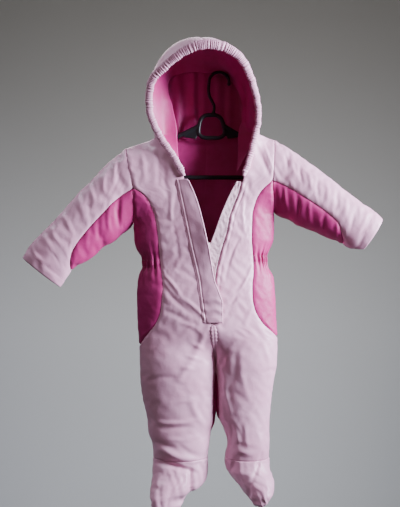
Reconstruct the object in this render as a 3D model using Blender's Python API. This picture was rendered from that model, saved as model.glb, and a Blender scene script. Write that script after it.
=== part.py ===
"""A baby's padded, hooded, footed snowsuit on a plastic hanger.

The suit is drafted in millimetres: X runs across it (the wearer's left is +X), -Y is its front and Z is up.
Every cloth piece is a wall with a true outer and inner face, cut from one of four surfaces: the body with its
legs and feet, the two sleeves, and the hood. Neighbouring pieces share a seam line and stand SEAM_GAP apart.
The whole model is moved at the end, so that the inside top of the hanger's hook is the origin.
"""
import math
from collections import namedtuple

import bmesh
import bpy
import numpy as np

# ---------------------------------------------------------------- driving dimensions, in millimetres
MM = 0.001
SEAM_GAP = 0.3
HALF_GAP = SEAM_GAP / 2
PADDED_WALL = 3.0
LINING_WALL = 1.2
LINING_CLEARANCE = 0.7
TAPE_WALL = 1.4
TAPE_SUNK = 0.8
FLAP_WALL = 2.2
FLAP_CLEARANCE = 1.3
HOOK_TOP_X = 22.0

CROTCH_HEIGHT = -576.0
ANKLE_HEIGHT = -765.0
WAIST_RIGHT, WAIST_LEFT = -378.0, -370.0
LEG_STARTS, LEG_WHOLE = -505.0, -585.0
SHOULDER_ROUNDING = 50.0
NECK_HALF_WIDTH = 103.0
NECK_DEPTH_BACK = 24.0

WAIST_FLUTES = 8
WAIST_FLUTE_HEIGHT = 2.4
WAIST_ELASTIC_SPREAD = 22.0
CASING_GATHERS = 58
CASING_GATHER_HEIGHT = 0.8
CASING_HALF_WIDTH = 7.4
CASING_HALF_THICKNESS = 3.4

RIGHT, LEFT = -1, 1
FRONT, BACK = -1, 1

# ---------------------------------------------------------------- tables
Outline = namedtuple("Outline", "z outer inner")
OUTLINE_RIGHT = [
    Outline(-302, -149, -8), Outline(-334, -147, -7), Outline(-352, -142, -6), Outline(-368, -131, -6),
    Outline(-386, -130, -4), Outline(-400, -137, -2), Outline(-420, -141, 1), Outline(-450, -142, 4),
    Outline(-490, -141, 8), Outline(-539, -138, 12), Outline(-576, -137, 15), Outline(-610, -136, 15),
    Outline(-648, -131, 15), Outline(-690, -122, 12), Outline(-713, -120, 5), Outline(-738, -112, 3),
    Outline(-765, -110, 0), Outline(-798, -110, -1), Outline(-811, -112, -4), Outline(-821, -113, -13),
    Outline(-829, -113, -31), Outline(-835, -112, -42), Outline(-845, -109, -49), Outline(-856, -100, -58)]
OUTLINE_LEFT = [
    Outline(-280, 132, -7), Outline(-329, 131, -8), Outline(-348, 124, -6), Outline(-366, 117, -6),
    Outline(-384, 119, -4), Outline(-405, 130, 0), Outline(-444, 134, 4), Outline(-487, 136, 8),
    Outline(-534, 139, 12), Outline(-576, 138, 15.6), Outline(-606, 133, 17), Outline(-640, 128, 17.5),
    Outline(-680, 124, 20), Outline(-706, 123, 32), Outline(-735, 123, 38), Outline(-765, 122, 33),
    Outline(-786, 122, 36), Outline(-798, 127, 43), Outline(-809, 129, 51), Outline(-820, 127, 61),
    Outline(-830, 121, 71), Outline(-840, 112, 83), Outline(-849, 104, 90)]

Centre = namedtuple("Centre", "z x")
CENTRE_LINE = [Centre(-100, -2), Centre(-200, -5), Centre(-300, -8), Centre(-350, -6), Centre(-400, -2),
               Centre(-450, 4), Centre(-490, 8), Centre(-535, 12), Centre(-576, 15)]

Depth = namedtuple("Depth", "z front back turn")
BODY_DEPTH = [
    Depth(-127, 28, 28, 0), Depth(-208, 39, 31, 0), Depth(-302, 43, 37, 0), Depth(-378, 40, 36, 0),
    Depth(-450, 46, 40, 0), Depth(-520, 46, 44, 0), Depth(-576, 42, 42, 0), Depth(-640, 38, 38, 0),
    Depth(-700, 36, 36, 0), Depth(-745, 39, 37, 0), Depth(-765, 37, 37, 0), Depth(-790, 46, 41, -16),
    Depth(-810, 57, 38, -34), Depth(-821, 62, 26, -38), Depth(-829, 65, 12, -38), Depth(-835, 66, -2, -34),
    Depth(-845, 66, -30, -24), Depth(-851, 62, -43, -16), Depth(-856, 54.4, -54.0, -10)]

ArmLine = namedtuple("ArmLine", "z x")
ARM_LINE_RIGHT = [ArmLine(-147, -163), ArmLine(-190, -156), ArmLine(-232, -148), ArmLine(-265, -147),
                  ArmLine(-302, -149)]
ARM_LINE_LEFT = [ArmLine(-131, 132), ArmLine(-182, 129), ArmLine(-217, 127), ArmLine(-250, 129),
                 ArmLine(-280, 132)]
ARM_HALF_DEPTH = 30.0

Shoulder = namedtuple("Shoulder", "x front back")
SHOULDER_RIGHT = [Shoulder(-163, -147, -147), Shoulder(-103, -127, -127), Shoulder(-60, -112, -131),
                  Shoulder(0, -100, -132)]
SHOULDER_LEFT = [Shoulder(0, -100, -132), Shoulder(60, -108, -131), Shoulder(103, -121, -124),
                 Shoulder(132, -131, -131)]

Sleeve = namedtuple("Sleeve", "station top_x top_z under_x under_z depth forward")
SLEEVE_RIGHT = [
    Sleeve(0, -163, -147, -149, -302, 30, 0), Sleeve(1, -184, -165, -161, -313, 31, -1),
    Sleeve(2, -208, -187, -174, -322, 32, -2), Sleeve(3, -232, -213, -189, -336, 31, -4),
    Sleeve(4, -258, -239, -207, -345, 30, -5), Sleeve(5, -284, -269, -227, -364, 29, -6),
    Sleeve(6, -309, -297, -248, -378, 28, -8), Sleeve(7, -334, -322, -267, -389, 26, -9),
    Sleeve(8, -354, -344, -280, -408, 23, -10), Sleeve(9, -368, -368, -293, -426, 19, -10)]
SLEEVE_LEFT = [
    Sleeve(0, 132, -131, 132, -280, 30, 0), Sleeve(1, 156, -146, 146, -287, 31, -3),
    Sleeve(2, 178, -162, 160, -292, 32, -6), Sleeve(3, 201, -179, 175, -302, 32, -10),
    Sleeve(4, 224, -197, 192, -309, 31, -14), Sleeve(5, 248, -216, 212, -317, 30, -18),
    Sleeve(6, 272, -237, 234, -328, 29, -22), Sleeve(7, 296, -255, 258, -338, 27, -26),
    Sleeve(8, 319, -271, 282, -351, 24, -30), Sleeve(9, 341, -293, 304, -351, 20, -33)]
Gore = namedtuple("Gore", "station right left")
GORE = [Gore(0, 0.55, 0.575), Gore(2, 0.555, 0.575), Gore(3, 0.56, 0.57), Gore(4, 0.60, 0.58),
        Gore(5, 0.62, 0.605), Gore(6, 0.71, 0.645), Gore(7, 0.93, 0.90), Gore(7.3, 0.995, 0.99), Gore(9, 1, 1)]
GORE_TIP_STATION = 7.2

Seam = namedtuple("Seam", "z x")
PANEL_SEAM_RIGHT = [
    Seam(-232, -146.3), Seam(-240, -132), Seam(-255, -118), Seam(-289, -104.5), Seam(-322, -99),
    Seam(-367, -95.5), Seam(-401, -91), Seam(-420, -89), Seam(-442, -90.5), Seam(-473, -94),
    Seam(-495, -102.5), Seam(-515, -118), Seam(-530, -130), Seam(-539, -136)]
PANEL_SEAM_LEFT = [
    Seam(-217, 125.3), Seam(-228, 112), Seam(-243, 100), Seam(-262, 92), Seam(-284, 87),
    Seam(-330, 86), Seam(-366, 89), Seam(-392, 90), Seam(-422, 87), Seam(-452, 88),
    Seam(-476, 95), Seam(-498, 110), Seam(-514, 128), Seam(-522, 136.4)]

FrontEdge = namedtuple("FrontEdge", "z x")
FRONT_EDGE_RIGHT = [
    FrontEdge(-127, -103), FrontEdge(-143, -96.5), FrontEdge(-175, -75.5), FrontEdge(-213, -56),
    FrontEdge(-251, -38), FrontEdge(-289, -27), FrontEdge(-332, -18), FrontEdge(-350, -13),
    FrontEdge(-400, -7), FrontEdge(-450, 0), FrontEdge(-492, 8)]
FRONT_EDGE_LEFT = [
    FrontEdge(-121, 103), FrontEdge(-135, 98.5), FrontEdge(-166, 91.5), FrontEdge(-188, 86),
    FrontEdge(-205, 81), FrontEdge(-216, 67), FrontEdge(-241, 60), FrontEdge(-263, 51),
    FrontEdge(-286, 43), FrontEdge(-317, 37), FrontEdge(-350, 27), FrontEdge(-397, 16),
    FrontEdge(-450, 11), FrontEdge(-492, 9)]
ZIP_END_HEIGHT = -492.0

Strip = namedtuple("Strip", "z near far")
BandEdge = namedtuple("BandEdge", "z band tape")
FLAP = [
    Strip(-214, -65, -40), Strip(-251, -57, -24), Strip(-289, -49, -13), Strip(-332, -40, -3),
    Strip(-350, -36, 1), Strip(-380, -29, 6), Strip(-412, -22, 12), Strip(-436, -19, 21),
    Strip(-456, -16, 27), Strip(-494, -11, 27)]
ZIP_EDGES = [
    BandEdge(-218, 56, -44), BandEdge(-241, 43, -31), BandEdge(-263, 33, -22), BandEdge(-286, 23.5, -16),
    BandEdge(-317, 12.5, -9.5), BandEdge(-332, 7, -7), BandEdge(-350, 1.2, -1.6), BandEdge(-397, 5.2, 4.0),
    BandEdge(-430, 5.8, 4.4), BandEdge(-460, 6.4, 5.0)]
TAPE_INSET = 1.2

Casing = namedtuple("Casing", "x y z")
CASING = [
    Casing(-47, -44, -208), Casing(-66.7, -41, -171), Casing(-88.4, -37, -139), Casing(-102, -38, -114),
    Casing(-111.5, -42, -91), Casing(-114, -50, -65), Casing(-112, -58, -43), Casing(-105, -66, -24),
    Casing(-87, -74, -8), Casing(-65, -82, 10), Casing(-37, -89, 26), Casing(-10, -93, 32.5),
    Casing(13, -93, 32), Casing(40, -89, 24), Casing(62.5, -83, 7), Casing(77, -74, -17),
    Casing(88, -62, -45), Casing(95.2, -50, -73), Casing(96, -42, -104), Casing(89.8, -38, -132),
    Casing(82.8, -39, -164), Casing(76.4, -42, -186), Casing(68.5, -44, -208)]
FACE_CENTRE = (-8.0, -75.0)
HOOD_EDGE_START, HOOD_EDGE_END = 0.124, 0.862
HOOD_EDGE_OFFSET = 2.4
HOOD_EDGE_BEHIND = 6.8

Arch = namedtuple("Arch", "top_x top_y top_z right_x right_z left_x left_z "
                          "base_right base_right_z base_left base_left_z base_y")
HOOD_ARCHES = [
    Arch(-15, -48, 55, -111, -64, 84, -92, -99, -129, 99, -126, -15),
    Arch(-12, -14, 43, -104, -64, 82, -86, -101, -124, 100, -118.5, 0),
    Arch(-6, 6, 23, -94, -47, 75, -64, -89, -126.5, 92, -124, 11),
    Arch(-3, 13, 5, -80, -18, 64, -34, -64, -128.5, 74, -127.5, 19),
    Arch(-2, 15.5, -42, -57, -64, 47, -70, -47, -129.6, 52, -129.6, 21.5),
    Arch(0, 19.5, -92, -39, -103, 36, -103, -35, -130, 38, -130, 22.7),
    Arch(0, 23.5, -129.6, -16, -129.9, 16, -129.9, -29, -130.2, 31, -130.2, 23.4)]

Fold = namedtuple("Fold", "face x1 z1 x2 z2 width height")
FOLDS = [
    # sleeves, front: ridges across the right sleeve and hollows across the left one
    Fold(FRONT, -200, -206, -197, -240, 12, 3.0), Fold(FRONT, -181, -180, -182, -206, 11, 2.6),
    Fold(FRONT, -249, -240, -234, -282, 12, 3.2), Fold(FRONT, -280, -274, -260, -312, 12, 3.2),
    Fold(FRONT, -306, -306, -281, -342, 12, 3.0), Fold(FRONT, -334, -328, -295, -355, 11, 2.6),
    Fold(FRONT, 158, -166, 163, -192, 10, -2.8), Fold(FRONT, 173, -206, 175, -234, 10, -2.8),
    Fold(FRONT, 192, -226, 194, -250, 10, -2.6), Fold(FRONT, 230, -222, 228, -272, 11, -3.0),
    Fold(FRONT, 286, -262, 270, -308, 11, -3.0), Fold(FRONT, -172, -254, -176, -296, 11, -3.0),
    # body, front: drag lines from the neck and across the hips
    Fold(FRONT, -106, -142, -80, -232, 13, 2.6), Fold(FRONT, 97, -160, 116, -210, 12, 2.4),
    Fold(FRONT, -80, -402, -46, -470, 13, 3.2), Fold(FRONT, -52, -512, -6, -538, 12, 2.6),
    Fold(FRONT, 54, -474, 84, -396, 13, 3.2), Fold(FRONT, 82, -478, 60, -544, 13, 2.6),
    # legs, front
    Fold(FRONT, -18, -548, -56, -594, 13, 3.2), Fold(FRONT, -86, -692, -18, -686, 12, 3.2),
    Fold(FRONT, -126, -604, -70, -640, 13, 2.4), Fold(FRONT, 24, -560, 32, -668, 12, 3.4),
    Fold(FRONT, 52, -548, 54, -640, 13, -3.0), Fold(FRONT, 60, -690, 68, -728, 12, 2.8),
    Fold(FRONT, 106, -610, 78, -650, 12, 2.6), Fold(FRONT, -94, -752, -28, -742, 13, 4.0),
    Fold(FRONT, 48, -752, 104, -744, 13, 3.4),
    # the hidden back has folds of the same kind
    Fold(BACK, -98, -236, -40, -330, 14, 2.6), Fold(BACK, 92, -226, 44, -318, 14, 2.8),
    Fold(BACK, -84, -410, -18, -470, 14, 3.2), Fold(BACK, 88, -402, 24, -476, 14, 3.0),
    Fold(BACK, -110, -520, -30, -552, 14, 3.0), Fold(BACK, 34, -560, 108, -530, 14, 3.0),
    Fold(BACK, -112, -640, -40, -664, 13, 3.0), Fold(BACK, 40, -650, 108, -634, 13, 3.0),
    Fold(BACK, -98, -726, -26, -712, 13, 3.4), Fold(BACK, 52, -716, 108, -728, 13, 3.4),
    Fold(BACK, -204, -210, -196, -250, 12, 3.0), Fold(BACK, -256, -252, -240, -300, 12, 3.0),
    Fold(BACK, -304, -306, -284, -350, 12, 2.8), Fold(BACK, 180, -190, 178, -236, 11, 2.8),
    Fold(BACK, 226, -216, 222, -268, 11, 2.8), Fold(BACK, 280, -262, 268, -312, 11, 2.8)]

Paint = namedtuple("Paint", "colour roughness")
SHELL_PINK = Paint((0.74, 0.60, 0.66), 0.45)
CONTRAST_PINK = Paint((0.52, 0.10, 0.27), 0.5)
LINING_PINK = Paint((0.50, 0.09, 0.24), 0.8)
ZIP_PINK = Paint((0.70, 0.55, 0.60), 0.6)
HANGER_BLACK = Paint((0.012, 0.012, 0.014), 0.4)


# ---------------------------------------------------------------- reading tables
class Track:
    """A smooth curve through one column of a table, which never swings past its rows."""

    def __init__(self, rows, along, column):
        order = np.argsort([getattr(row, along) for row in rows])
        self.places = np.array([getattr(rows[i], along) for i in order], float)
        self.values = np.array([getattr(rows[i], column) for i in order], float)
        steps = np.diff(self.places)
        slopes = np.diff(self.values) / steps
        self.slopes = np.zeros(len(self.values))
        self.slopes[0], self.slopes[-1] = slopes[0], slopes[-1]
        for i in range(1, len(slopes)):
            before, after = slopes[i - 1], slopes[i]
            if before * after > 0:
                self.slopes[i] = 2 * before * after / (before + after)

    def __call__(self, place):
        place = np.clip(place, self.places[0], self.places[-1])
        i = np.clip(np.searchsorted(self.places, place) - 1, 0, len(self.places) - 2)
        step = self.places[i + 1] - self.places[i]
        f = (place - self.places[i]) / step
        start = self.values[i] * (1 + 2 * f) * (1 - f) ** 2 + self.slopes[i] * step * f * (1 - f) ** 2
        end = self.values[i + 1] * f * f * (3 - 2 * f) + self.slopes[i + 1] * step * f * f * (f - 1)
        return start + end


def ease(value):
    """A smooth step from 0 to 1."""
    value = np.clip(value, 0.0, 1.0)
    return value * value * (3 - 2 * value)


def unit(vectors):
    return vectors / np.maximum(np.linalg.norm(vectors, axis=-1, keepdims=True), 1e-12)


Side = namedtuple("Side", "name sign outer inner arm_line arm_top arm_under shoulder_front shoulder_back "
                          "panel_seam panel_tip front_edge sleeve gore waist toe_end")


def make_side(name, sign, outline, arm_line, shoulder, panel_seam, front_edge, sleeve, waist):
    """Gathers what is read along one side of the wearer; a panel's tip is its seam's last row."""
    return Side(name, sign, Track(outline, "z", "outer"), Track(outline, "z", "inner"),
                Track(arm_line, "z", "x"), sleeve[0].top_z, sleeve[0].under_z,
                Track(shoulder, "x", "front"), Track(shoulder, "x", "back"), Track(panel_seam, "z", "x"),
                panel_seam[-1].z, Track(front_edge, "z", "x"),
                {column: Track(sleeve, "station", column) for column in Sleeve._fields[1:]},
                Track(GORE, "station", name), waist, outline[-1].z)


SIDES = [
    make_side("right", RIGHT, OUTLINE_RIGHT, ARM_LINE_RIGHT, SHOULDER_RIGHT, PANEL_SEAM_RIGHT,
              FRONT_EDGE_RIGHT, SLEEVE_RIGHT, WAIST_RIGHT),
    make_side("left", LEFT, OUTLINE_LEFT, ARM_LINE_LEFT, SHOULDER_LEFT, PANEL_SEAM_LEFT,
              FRONT_EDGE_LEFT, SLEEVE_LEFT, WAIST_LEFT)]

centre_line = Track(CENTRE_LINE, "z", "x")
front_depth = Track(BODY_DEPTH, "z", "front")
back_depth = Track(BODY_DEPTH, "z", "back")
foot_turn = Track(BODY_DEPTH, "z", "turn")


def foot_place(side, z):
    """Where in the depth table a height is read: each foot's own length is stretched to the table's."""
    stretch = (BODY_DEPTH[-1].z - ANKLE_HEIGHT) / (side.toe_end - ANKLE_HEIGHT)
    return np.where(z < ANKLE_HEIGHT, ANKLE_HEIGHT + (z - ANKLE_HEIGHT) * stretch, z)


def half_depth(side, z):
    place = foot_place(side, z)
    return (front_depth(place) + back_depth(place)) / 2


def middle(side, z):
    place = foot_place(side, z)
    return (back_depth(place) - front_depth(place)) / 2


# ---------------------------------------------------------------- the body surface
def arm_depth(side, z):
    """Half the armhole's depth at a height, 0 at its top and at the armpit."""
    centre = (side.arm_top + side.arm_under) / 2
    reach = (side.arm_top - side.arm_under) / 2
    return ARM_HALF_DEPTH * np.sqrt(np.clip(1 - ((z - centre) / reach) ** 2, 0, 1))


def across(u, z):
    """How far out from the centre line u lies: a quarter round on the body, a half round on a leg."""
    leg = ease((LEG_STARTS - z) / (LEG_STARTS - LEG_WHOLE))
    return (1 - leg) * np.sin(math.pi * u / 2) + leg * (1 - np.cos(math.pi * u)) / 2


def body_x(side, u, z):
    outer = np.where(z > side.arm_under, side.arm_line(z), side.outer(z))
    inner = np.where(z > CROTCH_HEIGHT, centre_line(z), side.inner(z))
    return inner + (outer - inner) * across(u, z)


def smooth_body_point(side, face, u, z):
    """A point of the body without its folds; u runs from the centre or inner leg (0) to the side (1)."""
    u, z = np.broadcast_arrays(np.asarray(u, float), np.asarray(z, float))
    leg = ease((LEG_STARTS - z) / (LEG_STARTS - LEG_WHOLE))
    x = body_x(side, u, z)
    shoulder = side.shoulder_front(x) if face == FRONT else side.shoulder_back(x)
    drop = np.clip((shoulder - z) / SHOULDER_ROUNDING, 0, 1)
    rounding = np.sqrt(1 - (1 - drop) ** 2)
    if face == BACK:
        nape = NECK_DEPTH_BACK * np.sqrt(np.clip(1 - (x / NECK_HALF_WIDTH) ** 2, 0, 1)) / half_depth(side, z)
        rounding = nape + (1 - nape) * rounding
    deep = (1 - leg) * np.cos(math.pi * u / 2) + leg * np.sin(math.pi * u)
    arm = arm_depth(side, z) * np.sin(math.pi * u / 2)
    y = (middle(side, z) * np.clip(drop * 2, 0, 1) + foot_turn(foot_place(side, z)) * (across(u, z) - 0.5)
         + face * np.sqrt((half_depth(side, z) * rounding * deep) ** 2 + arm ** 2))
    return np.stack([x, y, z], axis=-1)


def body_normal(side, face, u, z):
    """The outward direction, from small steps along the surface."""
    step_u, step_z = 0.01, 0.5
    u, z = np.broadcast_arrays(np.asarray(u, float), np.asarray(z, float))
    along = (smooth_body_point(side, face, np.clip(u + step_u, 0, 1), z)
             - smooth_body_point(side, face, np.clip(u - step_u, 0, 1), z))
    up = smooth_body_point(side, face, u, z + step_z) - smooth_body_point(side, face, u, z - step_z)
    return unit(np.cross(along, up)) * side.sign * -face


def fold_height(points, normals):
    """How far the folds lift the cloth: each is a soft ridge or hollow along a line of the table."""
    lift = np.zeros(points.shape[:-1])
    for fold in FOLDS:
        start = np.array([fold.x1, fold.z1], float)
        run = np.array([fold.x2, fold.z2], float) - start
        offset = points[..., [0, 2]] - start
        along = np.clip((offset @ run) / (run @ run), 0, 1)
        distance = np.linalg.norm(offset - along[..., None] * run, axis=-1)
        facing = ease(normals[..., 1] * fold.face * 1.6)
        lift += fold.height * facing * np.exp(-(distance / fold.width) ** 2)
    return lift


def body_surface(side, face, u, z):
    """Outer points of the body's cloth and their outward directions."""
    points = smooth_body_point(side, face, u, z)
    normals = body_normal(side, face, u, z)
    leg = ease((LEG_STARTS - points[..., 2]) / (LEG_STARTS - LEG_WHOLE))
    beside_inner_leg = 1 - leg * (1 - ease(np.broadcast_to(u, leg.shape) * 5))
    lift = fold_height(points, normals) * beside_inner_leg
    return points + normals * lift[..., None], normals


def u_of_x(side, x, z):
    """The place u across the body at which it is x wide, found by halving."""
    low, high = np.zeros_like(np.asarray(x, float)), np.ones_like(np.asarray(x, float))
    for _ in range(30):
        centre = (low + high) / 2
        beyond = (body_x(side, centre, z) - x) * side.sign > 0
        high = np.where(beyond, centre, high)
        low = np.where(beyond, low, centre)
    return (low + high) / 2


def front_y(x, z):
    """The depth of the front's outer face at any x and z near the centre."""
    side = SIDES[0] if x < centre_line(z) else SIDES[1]
    return float(body_surface(side, FRONT, u_of_x(side, x, z), z)[0][1])


# ---------------------------------------------------------------- the sleeve surface
def smooth_sleeve_point(side, station, angle):
    """A point of a sleeve without its folds; angle 0 is its top, a quarter turn its front."""
    station, angle = np.broadcast_arrays(np.asarray(station, float), np.asarray(angle, float))
    read = side.sleeve
    top = np.stack([read["top_x"](station), read["top_z"](station)], axis=-1)
    under = np.stack([read["under_x"](station), read["under_z"](station)], axis=-1)
    flat = (top + under) / 2 + (top - under) / 2 * np.cos(angle)[..., None]
    join = np.clip(1 - station, 0, 1) ** 2
    first_centre = (side.arm_top + side.arm_under) / 2
    ring_z = first_centre + (side.arm_top - side.arm_under) / 2 * np.cos(angle)
    first_x = (read["top_x"](0) + read["under_x"](0)) / 2
    first_x = first_x + (read["top_x"](0) - read["under_x"](0)) / 2 * np.cos(angle)
    x = flat[..., 0] + join * (side.arm_line(ring_z) - first_x)
    shoulder = side.shoulder_front(side.arm_line(ring_z))
    ring_middle = middle(side, ring_z) * np.clip((shoulder - ring_z) / SHOULDER_ROUNDING * 2, 0, 1)
    y = ring_middle * join + read["forward"](station) * (1 - join) - read["depth"](station) * np.sin(angle)
    return np.stack([x, y, flat[..., 1]], axis=-1)


def sleeve_surface(side, station, angle):
    """Outer points of a sleeve's cloth and their outward directions."""
    station, angle = np.broadcast_arrays(np.asarray(station, float), np.asarray(angle, float))
    last = SLEEVE_RIGHT[-1].station
    points = smooth_sleeve_point(side, station, angle)
    along = (smooth_sleeve_point(side, np.minimum(station + 0.02, last), angle)
             - smooth_sleeve_point(side, np.maximum(station - 0.02, 0), angle))
    around = smooth_sleeve_point(side, station, angle + 0.02) - smooth_sleeve_point(side, station, angle - 0.02)
    normals = unit(np.cross(along, around)) * -side.sign
    return points + normals * fold_height(points, normals)[..., None], normals


# ---------------------------------------------------------------- the hood surface
def spread(points, count):
    """The same line read at equal steps along its length."""
    lengths = np.concatenate([[0], np.cumsum(np.linalg.norm(np.diff(points, axis=0), axis=1))])
    wanted = np.linspace(0, lengths[-1], count)
    return np.stack([np.interp(wanted, lengths, points[:, axis]) for axis in range(3)], axis=-1)


def casing_line(count):
    """The middle of the face opening's casing, from the right neck end over the top to the left one."""
    rows = np.array(CASING, float)
    knots = np.concatenate([[0], np.cumsum(np.linalg.norm(np.diff(rows, axis=0), axis=1))])
    slopes = np.gradient(rows, knots, axis=0)
    fine = []
    for i in range(len(rows) - 1):
        step = knots[i + 1] - knots[i]
        f = np.linspace(0, 1, 12, endpoint=False)[:, None]
        fine.append(rows[i] * (1 + 2 * f) * (1 - f) ** 2 + slopes[i] * step * f * (1 - f) ** 2
                    + rows[i + 1] * f * f * (3 - 2 * f) + slopes[i + 1] * step * f * f * (f - 1))
    fine.append(rows[-1:])
    return spread(np.concatenate(fine), count)


def casing_frame(line):
    """Along, outward (away from the face) and forward directions at each point of the casing's line."""
    along = unit(np.gradient(line, axis=0))
    outward = line.copy()
    outward[:, 0] -= FACE_CENTRE[0]
    outward[:, 1] = 0
    outward[:, 2] -= FACE_CENTRE[1]
    outward = unit(outward - along * np.sum(outward * along, axis=1, keepdims=True))
    return along, outward, unit(np.cross(along, outward))


ARCH_SAMPLES = 41


def arch_half(arch, base_x, base_z, wide_x, wide_z):
    """Half an arch: up from its foot on the neckline to its widest place, then over to the top."""
    lower = np.linspace(0, 1, 12, endpoint=False)
    upper = np.linspace(0, math.pi / 2, 24)
    x = np.concatenate([base_x + (wide_x - base_x) * np.sin(math.pi * lower / 2),
                        arch.top_x + (wide_x - arch.top_x) * np.cos(upper) ** 0.85])
    z = np.concatenate([base_z + (wide_z - base_z) * lower,
                        wide_z + (arch.top_z - wide_z) * np.sin(upper) ** 0.95])
    rise = (z - base_z) / (arch.top_z - base_z)
    y = arch.base_y + (arch.top_y - arch.base_y) * rise
    return spread(np.stack([x, y, z], axis=-1), ARCH_SAMPLES)


def hood_arches():
    """Every arch of the hood, front to back, each from its right foot over the top to its left foot."""
    line = casing_line(601)
    _, outward, forward = casing_frame(line)
    if forward[300, 1] > 0:
        forward = -forward
    edge = line + outward * HOOD_EDGE_OFFSET - forward * HOOD_EDGE_BEHIND
    first, last = int(HOOD_EDGE_START * 600), int(HOOD_EDGE_END * 600)
    top = first + int(np.argmax(edge[first:last, 2]))
    arches = [np.concatenate([spread(edge[first:top + 1], ARCH_SAMPLES),
                              spread(edge[top:last + 1], ARCH_SAMPLES)[1:]])]
    for arch in HOOD_ARCHES:
        right = arch_half(arch, arch.base_right, arch.base_right_z, arch.right_x, arch.right_z)
        left = arch_half(arch, arch.base_left, arch.base_left_z, arch.left_x, arch.left_z)
        arches.append(np.concatenate([right, left[::-1][1:]]))
    return np.array(arches)


HOOD = hood_arches()


def hood_point(part, place):
    """A point of the hood: part 0 to 1 along an arch, place from the face edge (0) to the neck's back."""
    part, place = np.broadcast_arrays(np.asarray(part, float), np.asarray(place, float))
    column = np.clip(part, 0, 1) * (HOOD.shape[1] - 1)
    low = np.clip(column.astype(int), 0, HOOD.shape[1] - 2)
    f = (column - low)[..., None]
    lines = HOOD[:, low] * (1 - f) + HOOD[:, low + 1] * f
    slopes = np.gradient(lines, axis=0)
    place = np.clip(place, 0, len(HOOD) - 1)
    i = np.clip(place.astype(int), 0, len(HOOD) - 2)
    g = (place - i)[..., None]
    rows = np.indices(place.shape)
    start, end = lines[(i, *rows)], lines[(i + 1, *rows)]
    slope_start, slope_end = slopes[(i, *rows)], slopes[(i + 1, *rows)]
    return (start * (1 + 2 * g) * (1 - g) ** 2 + slope_start * g * (1 - g) ** 2
            + end * g * g * (3 - 2 * g) + slope_end * g * g * (g - 1))


HOOD_LAYERS = PADDED_WALL + LINING_CLEARANCE + LINING_WALL


def hood_surface(part, place):
    """Outer points of the hood's shell and their outward directions: the arches lie on the lining's inner face."""
    along = hood_point(np.minimum(part + 0.004, 1), place) - hood_point(np.maximum(part - 0.004, 0), place)
    last = len(HOOD) - 1
    back = hood_point(part, np.minimum(place + 0.03, last)) - hood_point(part, np.maximum(place - 0.03, 0))
    normals = unit(np.cross(along, back))
    return hood_point(part, place) + normals * HOOD_LAYERS, normals


# ---------------------------------------------------------------- making solids
model = bpy.data.collections.new("baby_snowsuit_on_hanger")


def start_scene():
    for thing in list(bpy.data.objects):
        bpy.data.objects.remove(thing, do_unlink=True)
    bpy.context.scene.collection.children.link(model)


def make_material(name, paint):
    material = bpy.data.materials.new(name)
    material.use_nodes = True
    shader = material.node_tree.nodes["Principled BSDF"]
    shader.inputs["Base Color"].default_value = (*paint.colour, 1.0)
    shader.inputs["Roughness"].default_value = paint.roughness
    shader.inputs["Metallic"].default_value = 0.0
    material.diffuse_color = (*paint.colour, 1.0)
    return material


def add_piece(name, mesh_maker, paint):
    """A mesh built by bmesh becomes a named object with its own material, moved to the hook's frame."""
    mesh = bpy.data.meshes.new(name)
    mesh_maker.to_mesh(mesh)
    mesh_maker.free()
    mesh.shade_smooth()
    mesh.set_sharp_from_angle(angle=math.radians(50))
    piece = bpy.data.objects.new(name, mesh)
    model.objects.link(piece)
    mesh.materials.append(make_material(name, paint))
    piece.location.x = -HOOK_TOP_X * MM
    return piece


def draw_in(points, first_row, last_row, first_column, last_column):
    """Moves the lattice's edges inwards, each by its own distance, so that pieces stand apart."""
    points = points.copy()
    for edge, inside, distance, axis in ((0, 1, first_row, 0), (-1, -2, last_row, 0),
                                         (0, 1, first_column, 1), (-1, -2, last_column, 1)):
        moved = np.take(points, edge, axis=axis)
        toward = unit(np.take(points, inside, axis=axis) - moved)
        if axis == 0:
            points[edge] = moved + toward * distance
        else:
            points[:, edge] = moved + toward * distance
    return points


def unique_index(rows, columns):
    return np.arange(rows * columns).reshape(rows, columns)


def lattice_faces(index, keep=None):
    """Two triangles for each place between rows and columns, always split the same way."""
    faces = []
    for r in range(index.shape[0] - 1):
        for c in range(index.shape[1] - 1):
            if keep is None or keep(r, c):
                faces.append((index[r, c], index[r, c + 1], index[r + 1, c + 1]))
                faces.append((index[r, c], index[r + 1, c + 1], index[r + 1, c]))
    return faces


def wall(outer, inner, index=None, keep=None):
    """A closed wall between two lattices of points, with a rim along every free edge.

    A rim is split from its lower point, so that two pieces that share a seam are split alike.
    """
    if index is None:
        index = unique_index(*outer.shape[:2])
    outer, inner = outer.reshape(-1, 3), inner.reshape(-1, 3)
    faces = lattice_faces(index, keep)
    used = sorted({corner for face in faces for corner in face})
    edges = {(face[i], face[(i + 1) % 3]) for face in faces for i in range(3)}
    mesh = bmesh.new()
    near = {i: mesh.verts.new(outer[i] * MM) for i in used}
    far = {i: mesh.verts.new(inner[i] * MM) for i in used}
    for face in faces:
        mesh.faces.new([near[i] for i in face])
        mesh.faces.new([far[i] for i in reversed(face)])
    for a, b in sorted(edges):
        if (b, a) not in edges:
            low, high = sorted((a, b), key=lambda i: (round(outer[i][2]), outer[i][0] + outer[i][1]))
            mesh.faces.new((near[low], near[high], far[low]))
            mesh.faces.new((near[high], far[high], far[low]))
    bmesh.ops.recalc_face_normals(mesh, faces=mesh.faces)
    return mesh


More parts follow.
